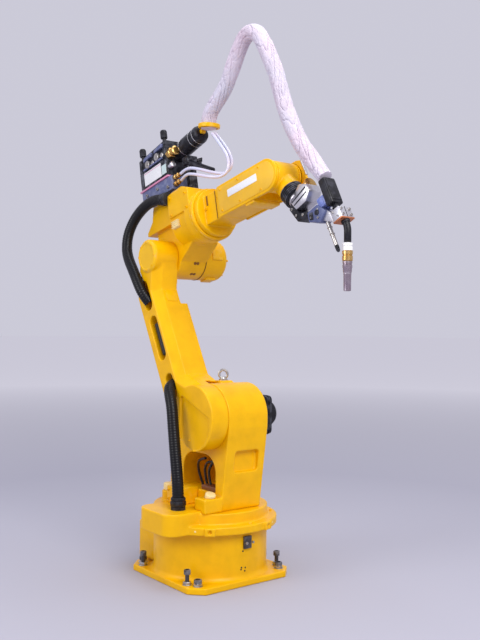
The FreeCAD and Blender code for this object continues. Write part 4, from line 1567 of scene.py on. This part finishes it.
    def motor(self) -> None:
        """Build the round black drive at the front of the feeder."""
        start, end = Vector((self.front - 1, -2, self.feed + 10)), Vector((232, -2, 390))
        reach = (end - start).length
        body = Shape(ELBOW).turned(
            [(31, 0), (32, 2), (32, 44), (29.5, 46), (29.5, 50), (32, 52), (32, 104), (30, 107), (30, 112),
             (32, 114), (32, reach - 14), (28, reach - 2), (20, reach)], start, end - start, 64)
        body.piece("feeder_drive", Finishes.BLACK_METAL, Body.ELBOW, "feeder_motor")
        lines = Shape(ELBOW)
        run = (end - start).normalized()
        for place in (47.5, 109.5, reach - 22):
            lines.turned([(30.4, -1.2), (32.5, -0.8), (32.5, 0.8), (30.4, 1.2)], start + run * place, run, 64)
        lines.piece("feeder_drive_bands", Finishes.SILVER, Body.ELBOW)

    def ring(self) -> None:
        """Build the yellow ring that holds the foot of the sleeve."""
        lean = math.radians(16)
        axis = Vector((math.sin(lean), 0, math.cos(lean)))
        section = [(31, 0), (36, 0), (38, 2), (38, 12), (36, 14), (31, 14), (30, 12), (30, 2), (31, 0)]
        ring = Shape(ELBOW).turned(section, (272, 0, 390), axis, 72)
        ring.box((230, -11, 386), (243, 7, 400), 1.5)
        ring.piece("sleeve_ring_collar", Finishes.CASTING, Body.ELBOW, "sleeve_ring")

    def hoses(self) -> None:
        """Build the two hoses from the brass fittings up into the sleeve."""
        routes = [[(139.5, -46, 268), (178, -46, 276), (236, -38, 250), (290, -24, 218), (340, -8, 196),
                   (372, 2, 216), (360, 6, 266), (324, 8, 320), (292, 8, 366)],
                  [(139.5, -46, 244), (176, -52, 252), (228, -54, 232), (282, -42, 204), (330, -24, 186),
                   (364, -14, 196), (370, -10, 240), (338, -8, 296), (296, -8, 360)]]
        for i, route in enumerate(routes):
            Cord(f"feeder_hose_{i + 1}", route, 11, Finishes.HOSE, ELBOW).curve(Body.ELBOW, "feeder_hoses")


@dataclass
class Forearm:
    """The forearm with its side covers, in the elbow's frame."""

    axis: float = 90
    reach: float = 590
    start: float = 342
    half: float = 52

    def build(self) -> None:
        """Build and dress every piece of the forearm."""
        Shape().copy_of("forearm_casting").cast("forearm_shell", Finishes.CASTING, Body.FOREARM,
                                                "forearm_casting", cell=2.4, rounds=3)
        self.covers()
        label = Shape(ELBOW).prism(rounded_outline(402, 553, 87, 111, 2), -61, -59.8, 0.2)
        label.piece("forearm_label_film", Finishes.WHITE, Body.FOREARM, "forearm_label")
        tip = Shape().copy_of("fork_plate")
        tip.machined("fork_tip_plate", Finishes.SILVER, Body.FOREARM, 0.8, "fork_plate")
        # Dark strips painted as the shade in the slots at the forearm's root.
        details = Shape(ELBOW).box((272, -52, 102), (280, -49.2, 136), 1.2)
        details.box((322, -52, 42), (325, -49.6, 138), 0.8)
        details.piece("root_slot", Finishes.SLOT_AND_SEAM_SHADE, Body.FOREARM)
        lug = Shape(ELBOW).box((474, -54, 30), (520, 54, 44), 4)
        lug.piece("forearm_ledge", Finishes.CASTING, Body.FOREARM)

    def covers(self) -> None:
        """Build both side covers, each a bright border with a flat panel in it."""
        outer = bar_outline(self.start, self.reach, self.axis, self.half)
        panel = bar_outline(self.start + 9, self.reach, self.axis, self.half - 9, 6)
        right = Shape(ELBOW).prism(outer, -50, -58.4, 2.5, segments=3)
        right.piece("right_cover_border", Finishes.CASTING, Body.FOREARM, "forearm_cover_right")
        Shape(ELBOW).prism(panel, -57.5, -60, 1.2).piece("right_cover_panel", Finishes.PANEL, Body.FOREARM)
        nose = [(530, 38), (667, 41), (639, 137), (620, 142), (530, 142)]
        left = Shape(ELBOW).prism(outer, 50, 58.4, 2.5, segments=3).prism(nose, 50, 59.4, 3, segments=3)
        left.piece("left_cover_border", Finishes.CASTING, Body.FOREARM, "forearm_cover_left")
        Shape(ELBOW).prism(panel, 57.5, 60.2, 1.2).piece("left_cover_panel", Finishes.PANEL, Body.FOREARM)
        screws = Fasteners("forearm_screws", Body.FOREARM, Head.SOCKET, Finishes.CASTING)
        for side in (-1, 1):
            spots = [(x, side * 59.8, z) for x in (364, 460, 566) for z in (54, 126)]
            screws.add(ELBOW, (0, side, 0), 3.4, *spots)
        screws.add(ELBOW, (0, -1, 0), 4.5, (268, -50, 92), (334, -50, 110)).piece()


@dataclass
class Wrist:
    """Wrist housing between the fork's arms and the round cover at its flange, in the wrist's frame."""

    half: float = 41.7

    def build(self) -> None:
        """Build and dress every piece of the wrist."""
        Shape().copy_of("wrist_housing").cast("wrist_shell", Finishes.CASTING, Body.WRIST, "wrist_housing",
                                              cell=2.2, rounds=6)
        profile = [(30, 75), (37, 75)]
        for start in (77, 84, 91, 98, 105):
            profile += [(39, start), (39, start + 4.4), (36.4, start + 5.2), (36.4, start + 6.2)]
        profile += [(34, 112), (0, 112)]
        Shape(WRIST).turned(profile, axis=(1, 0, 0), sides=72).piece(
            "flange_ribbed_cover", Finishes.BLACK_METAL, Body.WRIST, "wrist_flange_cover")
        Fasteners("wrist_screws", Body.WRIST, Head.SOCKET, Finishes.CASTING).circle(
            WRIST, (0, -self.half, 0), (0, -1, 0), 34, 6, 3.5).circle(
            WRIST, (0, self.half, 0), (0, 1, 0), 34, 6, 3.5).piece()


@dataclass
class TorchHolder:
    """Adaptor, bracket, blocks and clamp between the flange and the torch."""

    face: float = 112.3

    def build(self) -> None:
        """Build and dress every piece of the holder."""
        self.adaptor()
        self.blocks()
        self.clamp()
        self.cover_and_rod()

    def adaptor(self) -> None:
        """Build the silver adaptor with its coloured bands."""
        start = self.face
        body = Shape(WRIST).rod((start, 0, 0), (start + 10, 0, 0), 30, 1.5, 56)
        outline = [(start + 2, -14), (start + 2, 50), (140, 68), (164, 62), (174, 30), (156, -14)]
        body.prism(outline, -26, 26, 3)
        body.piece("tool_adaptor_body", Finishes.SILVER, Body.TOOL, "tool_adaptor")
        bands = Shape(WRIST)
        for shift in (0, 14):
            bands.prism([(124 + shift, -10), (129 + shift, -10), (146 + shift, 58 - shift * 0.4),
                         (141 + shift, 60 - shift * 0.4)], -26.8, 26.8, 0.8)
        bands.piece("adaptor_bands", Finishes.BLACK_METAL, Body.TOOL)
        brass = Shape(WRIST).turned([(20, 0), (24, 2), (24, 9), (20, 11)], (132, 0, 56), (0.5, 0, 0.87), 48)
        brass.piece("adaptor_brass_ring", Finishes.BRASS, Body.TOOL)
        bracket = Shape(WRIST).prism([(start + 12, -14.3), (start + 16, -34), (184, -38), (204, 0), (196, 10),
                                      (172, -14.3)], -24, 24, 3, segments=3)
        bracket.piece("torch_bracket_plate", Finishes.BLACK_METAL, Body.TOOL, "torch_bracket")
        Fasteners("holder_screws", Body.TOOL, Head.SOCKET, Finishes.ZINC).add(
            WRIST, (0, -1, 0), 4, (140, -24, -24), (168, -24, -26), (190, -24, -8)).add(
            WRIST, (0, 1, 0), 4, (140, 24, -24), (168, 24, -26), (190, 24, -8)).add(
            WRIST, (0, -1, 0), 3.2, (222, -22, 4), (246, -22, 22), (228, -22, 38)).piece()

    def blocks(self) -> None:
        """Build the blue crash guard and the sensor block behind the clamp."""
        guard = Shape(WRIST).prism([(197, 4), (222, -12), (262, 16), (256, 54), (214, 46)], -22, 22, 3,
                                   segments=3)
        guard.piece("crash_guard_block", Finishes.BLUE, Body.TOOL, "breakaway_block")
        links = Shape(WRIST).prism([(206, 8), (224, -4), (234, 6), (216, 20)], -25, 25, 2)
        links.rod((232, -26, 30), (232, 26, 30), 8, 1.5)
        links.piece("crash_guard_links", Finishes.BLACK_METAL, Body.TOOL)
        sensor = Shape(TORCH).box((-60, -18, 74), (-29, 18, 106), 3)
        sensor.box((-52, -19.5, 80), (-36, 19.5, 100), 2)
        sensor.piece("sensor_casing", Finishes.BLUE_BRIGHT, Body.TOOL, "sensor_block")

    def clamp(self) -> None:
        """Build the silver clamp round the torch's neck."""
        clamp = Shape(TORCH).box((-22, -25, 2), (14, 25, 38), 3, 3)
        clamp.prism([(-22, 4), (-22, 38), (-50, 72), (-76, 48)], -15, 15, 3)
        clamp.piece("torch_clamp_body", Finishes.SILVER, Body.TOOL, "torch_clamp")
        foot = Shape(TORCH).box((-23, -26, -1), (15, 26, 4), 1.5)
        foot.piece("clamp_foot_plate", Finishes.COPPER, Body.TOOL)
        # A dark strip painted as the shade in the clamp's split.
        Shape(TORCH).box((13.4, -1, 2), (14.6, 1, 38), 0.2, 1).piece("clamp_split", Finishes.RECESS_SHADE, Body.TOOL)
        Fasteners("clamp_screws", Body.TOOL, Head.SOCKET, Finishes.ZINC).add(
            TORCH, (1, 0, 0), 4, (14, -16, 11), (14, 16, 11), (14, -16, 29), (14, 16, 29)).add(
            TORCH, (0, -1, 0), 3.2, (-12, -25, 30), (2, -25, 12)).piece()
        collar = Shape(TORCH).rod((0, 0, 0), (0, 0, -9), 13, 1.5)
        collar.piece("neck_collar", Finishes.BLACK_PLASTIC, Body.TOOL)

    def cover_and_rod(self) -> None:
        """Build the black cable cover above the clamp and the blow rod beside it."""
        cover = Shape(TORCH).prism(rounded_outline(-28, 0, -24, 24, 7), 62, 146, 3, "z")
        cover.rod((-14, 0, 37), (-14, 0, 64), 9, 1).ring(10, 2, (-14, 0, 52), (0, 0, 1), 40)
        cover.box((-1, -18, 70), (2.5, 18, 138), 1.5)
        cover.piece("torch_cable_cover", Finishes.BLACK_PLASTIC, Body.TOOL, "cable_cover")
        rod = Shape(TORCH).turned([(3, -64), (5, -62), (6, -50), (6, 42)], (-61, 0, 0), sides=40)
        rod.ring(6.6, 1.6, (-61, 0, -8), (0, 0, 1), 32).ring(6.6, 1.6, (-61, 0, 14), (0, 0, 1), 32)
        rod.piece("blow_rod_tube", Finishes.ZINC, Body.TOOL, "blow_rod")
        tip = Shape(TORCH).turned([(0, -66), (3.4, -66), (5.6, -62), (6.3, -54), (6.3, -46)], (-61, 0, 0),
                                  sides=40)
        tip.piece("blow_rod_tip", Finishes.BLACK_METAL, Body.TOOL)


@dataclass
class Torch:
    """The bent neck and the stack of its nozzle."""

    top: float = 1071

    def build(self) -> None:
        """Build and dress every piece of the torch."""
        neck = Shape().copy_of("torch_neck")
        neck.piece("torch_neck_tube", Finishes.BLACK_PLASTIC, Body.TOOL, "torch_neck")
        low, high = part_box("torch_insulator")
        x = (low.x + high.x) / 2 / MM
        stack = (
            ("insulator_sleeve", Finishes.CERAMIC, "torch_insulator",
             [(11, 0), (14.5, -1), (14.5, -8), (13, -9), (13, -11), (14.5, -12), (14.5, -22), (13, -23)]),
            ("torch_head_brass", Finishes.BRASS, "torch_body",
             [(13, -23), (15, -24), (15, -33), (13.4, -34), (13.4, -37), (15, -38), (15, -50), (13.6, -52)]),
            ("nozzle_seat", Finishes.TINTED, "nozzle_holder",
             [(12, -52), (14, -53), (14, -58), (12.6, -59), (12.6, -62), (14, -63), (14, -70), (12.8, -72),
              (12.8, -81), (11.4, -86)]),
            ("gas_nozzle_cup", Finishes.TINTED, "gas_nozzle",
             [(11.4, -86), (11.4, -90), (11, -92), (10.6, -135), (8.6, -136), (8.6, -100), (0, -100)]),
        )
        for name, finish, node, profile in stack:
            if node != "gas_nozzle":
                profile = [(0, profile[0][1]), *profile, (0, profile[-1][1])]
            else:
                profile = [(0, profile[0][1]), *profile]
            Shape().turned(profile, (x, 0, self.top), sides=56).piece(name, finish, Body.TOOL, node)
        tip = Shape().turned([(0, -98), (3.4, -98), (3.4, -126), (2, -131), (0, -131)], (x, 0, self.top),
                             sides=28)
        tip.piece("contact_tip", Finishes.COPPER, Body.TOOL)
        fins = Shape()
        for z in (-26, -30, -41, -45):
            fins.turned([(13.5, 0.8), (15.3, 0.6), (15.3, -0.6), (13.5, -0.8)], (x, 0, self.top + z),
                        sides=56)
        fins.piece("torch_head_rings", Finishes.BRASS, Body.TOOL)


@dataclass
class Sleeve:
    """The white cloth sleeve round the torch cable, in three stretches that meet end to end."""

    diameter: float = 52
    folds: float = 0.15
    taper: float = 0.16
    taper_start: float = 0.93
    taper_length: float = 0.08
    girth: float = 1.02
    swell: float = 0.09
    crease_sharpness: float = 7
    sides: int = 96

    def radius(self, start: float) -> Callable[[float, float], float]:
        """Give the creased radius of a stretch that begins at a length along the sleeve.

        Args:
            start: Length of the sleeve before this stretch, in metres.

        Returns:
            A function from a length along the stretch and an angle round it to a radius, in metres.
        """
        def reach(along: float, angle: float) -> float:
            """Radius with folds that run slantwise round the sleeve, and a taper at the lower end.

            Args:
                along: Length along the stretch, in metres.
                angle: Angle round it.

            Returns:
                The radius in metres.
            """
            s = start + along
            across, height = math.cos(angle), math.sin(angle)
            swell = self.swell * noise.noise(Vector((across * 0.9, height * 0.9, s * 11)))
            slant = noise.noise(Vector((across * 1.2 + s * 13, height * 1.2, s * 12 + across)))
            fine = noise.noise(Vector((across * 1.9 - s * 20, height * 1.9, s * 26)))
            fold = max(0.0, 1 - abs(slant) * self.crease_sharpness) ** 2 * self.folds
            small = max(0.0, 1 - abs(fine) * self.crease_sharpness) ** 2 * self.folds / 2
            end = min(1.0, max(0.0, (s - self.taper_start) / self.taper_length))
            return self.diameter / 2 * MM * (self.girth + swell - fold - small) * (1 - self.taper * end)
        return reach

    def build(self) -> None:
        """Build the three stretches."""
        stretches = (
            ("sleeve_rise", (Body.ELBOW, Body.FOREARM), ((-30, 0, 1530), (150, 0, 1755)),
             [(-30, 0, 1516), (-31, 0, 1558), (18, 0, 1602), (70, 0, 1640), (104, 0, 1692), (137, 0, 1748),
              (158, 0, 1768)]),
            ("sleeve_crest", (Body.FOREARM, Body.WRIST), ((170, 0, 1770), (345, 0, 1585)),
             [(158, 0, 1768), (179, 0, 1788), (228, 0, 1782), (264, 0, 1740), (292, 0, 1694), (320, 0, 1646),
              (338, 0, 1600), (347, 0, 1576)]),
            ("sleeve_drop", (Body.WRIST, Body.TOOL), ((350, 0, 1565), (545, 0, 1275)),
             [(347, 0, 1576), (356, 0, 1552), (382, 0, 1492), (408, 0, 1444), (438, 0, 1396), (470, 0, 1356),
              (508, 0, 1312), (536, 0, 1282), (552, 0, 1266)]),
        )
        done = 0.0
        for node, bodies, bend, route in stretches:
            cord = Cord(node + "_cloth", route, self.diameter, Finishes.SLEEVE)
            cord.tube(self.radius(done), self.sides, node)
            done += run_length(cord.line)


@dataclass
class Conduits:
    """The two black conduits that carry the cables past the joints."""

    diameter: float = 40
    hollow: float = 1.2
    rib_height: float = 0.7
    rib_width: float = 4.2
    sides: int = 40

    def reach(self, along: float, angle: float) -> float:
        """Radius with fine ribs, at any angle."""
        ribs = self.rib_height * math.sin(along / (self.rib_width * MM) * math.pi)
        return (self.diameter / 2 - self.hollow + ribs) * MM

    def build(self) -> None:
        """Build both conduits."""
        lower = [(66, -176, 250), (66, -177, 312), (52, -175, 380), (36, -172, 448), (20, -168, 514),
                 (4, -163, 572), (-24, -155, 612), (-47, -138, 633), (-54, -112, 640)]
        upper = [(-207, -124, 916), (-220, -143, 944), (-248, -147, 986), (-288, -142, 1030),
                 (-334, -134, 1070), (-370, -124, 1112), (-380, -114, 1166), (-358, -104, 1218),
                 (-312, -96, 1258), (-262, -90, 1280), (-220, -86, 1284), (-186, -84, 1280)]
        runs = (
            ("lower_conduit", lower, (Body.SWIVEL, Body.LOWER_ARM), ((66, -176, 290), (-40, -130, 625))),
            ("upper_conduit", upper, (Body.LOWER_ARM, Body.ELBOW), ((-230, -143, 950), (-240, -88, 1280))),
        )
        for node, route, bodies, bend in runs:
            cord = Cord(node + "_hose", route, self.diameter, Finishes.CONDUIT)
            cord.tube(self.reach, self.sides, node)


@dataclass
class Studio:
    """Pale floor, soft light and the camera."""

    place: tuple[float, float, float] = (2.275, -1.642, 0.831)
    azimuth: float = 37.77
    pitch: float = 0.51
    roll: float = 0.473
    lens: float = 61.49
    film: float = 36
    target: tuple[float, float, float] = (0.1, 0, 0.9)
    sky: Colour = (0.80, 0.79, 0.915)
    sky_strength: float = 0.75
    floor_size: float = 60
    floor_drop: float = 0.0005

    def build(self) -> None:
        """Build the stage, the world, the lights and the camera."""
        self.floor()
        self.world()
        self.lamp("key", (3.0, -0.6, 2.8), 1.8, 84, (1.0, 0.99, 0.97))
        self.lamp("side", (-0.4, -3.4, 2.0), 1.6, 44, (0.97, 0.98, 1.0))
        self.lamp("top", (0.2, 0.4, 4.2), 2.4, 55, (1.0, 1.0, 1.0))
        self.camera()

    def floor(self) -> None:
        """Lay a wide pale floor."""
        flat = bmesh.new()
        bmesh.ops.create_grid(flat, x_segments=2, y_segments=2, size=self.floor_size,
                              matrix=Matrix.Translation((0, 0, -self.floor_drop)))
        mesh = bpy.data.meshes.new("studio_floor")
        flat.to_mesh(mesh)
        flat.free()
        mesh.shade_smooth()
        mesh.materials.append(Finishes.FLOOR.material())
        link("studio_floor", mesh)

    def world(self) -> None:
        """Light everything softly from all round."""
        world = bpy.data.worlds.new("studio")
        world.use_nodes = True
        back = world.node_tree.nodes["Background"]
        back.inputs["Color"].default_value = (*self.sky, 1)
        back.inputs["Strength"].default_value = self.sky_strength
        bpy.context.scene.world = world
        bpy.context.scene.view_settings.view_transform = "Standard"

    def lamp(self, name: str, place: Point, size: float, power: float, colour: Colour) -> None:
        """Hang a square soft lamp that faces the arm.

        Args:
            name: Name of the lamp.
            place: Where it hangs, in metres.
            size: Its side.
            power: Its power.
            colour: Its colour.
        """
        data = bpy.data.lights.new(name, "AREA")
        data.size, data.energy, data.color = size, power, colour
        lamp = link(name, data)
        lamp.location = place
        lamp.rotation_euler = (Vector(self.target) - Vector(place)).to_track_quat("-Z", "Y").to_euler()

    def camera(self) -> None:
        """Set the camera at the viewing angle."""
        turn, tilt, roll = (math.radians(v) for v in (self.azimuth, self.pitch, self.roll))
        level = Vector((-math.cos(turn), math.sin(turn), 0))
        ahead = level * math.cos(tilt) + Vector((0, 0, math.sin(tilt)))
        right = Vector((math.sin(turn), math.cos(turn), 0))
        up = right.cross(ahead)
        across = right * math.cos(roll) + up * math.sin(roll)
        data = bpy.data.cameras.new("camera")
        data.lens, data.sensor_width, data.sensor_fit = self.lens, self.film, "HORIZONTAL"
        camera = link("camera", data)
        axes = Matrix((across, across.cross(ahead), -ahead)).transposed()
        camera.matrix_world = Matrix.Translation(self.place) @ axes.to_4x4()
        bpy.context.scene.camera = camera


def main() -> None:
    """Build the whole arm and its studio."""
    logging.basicConfig(level=logging.INFO, format="%(name)s %(message)s")
    parts = (Foot(), Column(), LowerArm(), Elbow(), WireFeeder(), Forearm(), Wrist(), TorchHolder(), Torch(),
             Conduits(), Sleeve(), Studio())
    for part in parts:
        log.info("building %s", type(part).__name__)
        part.build()


if __name__ == "__main__":
    main()
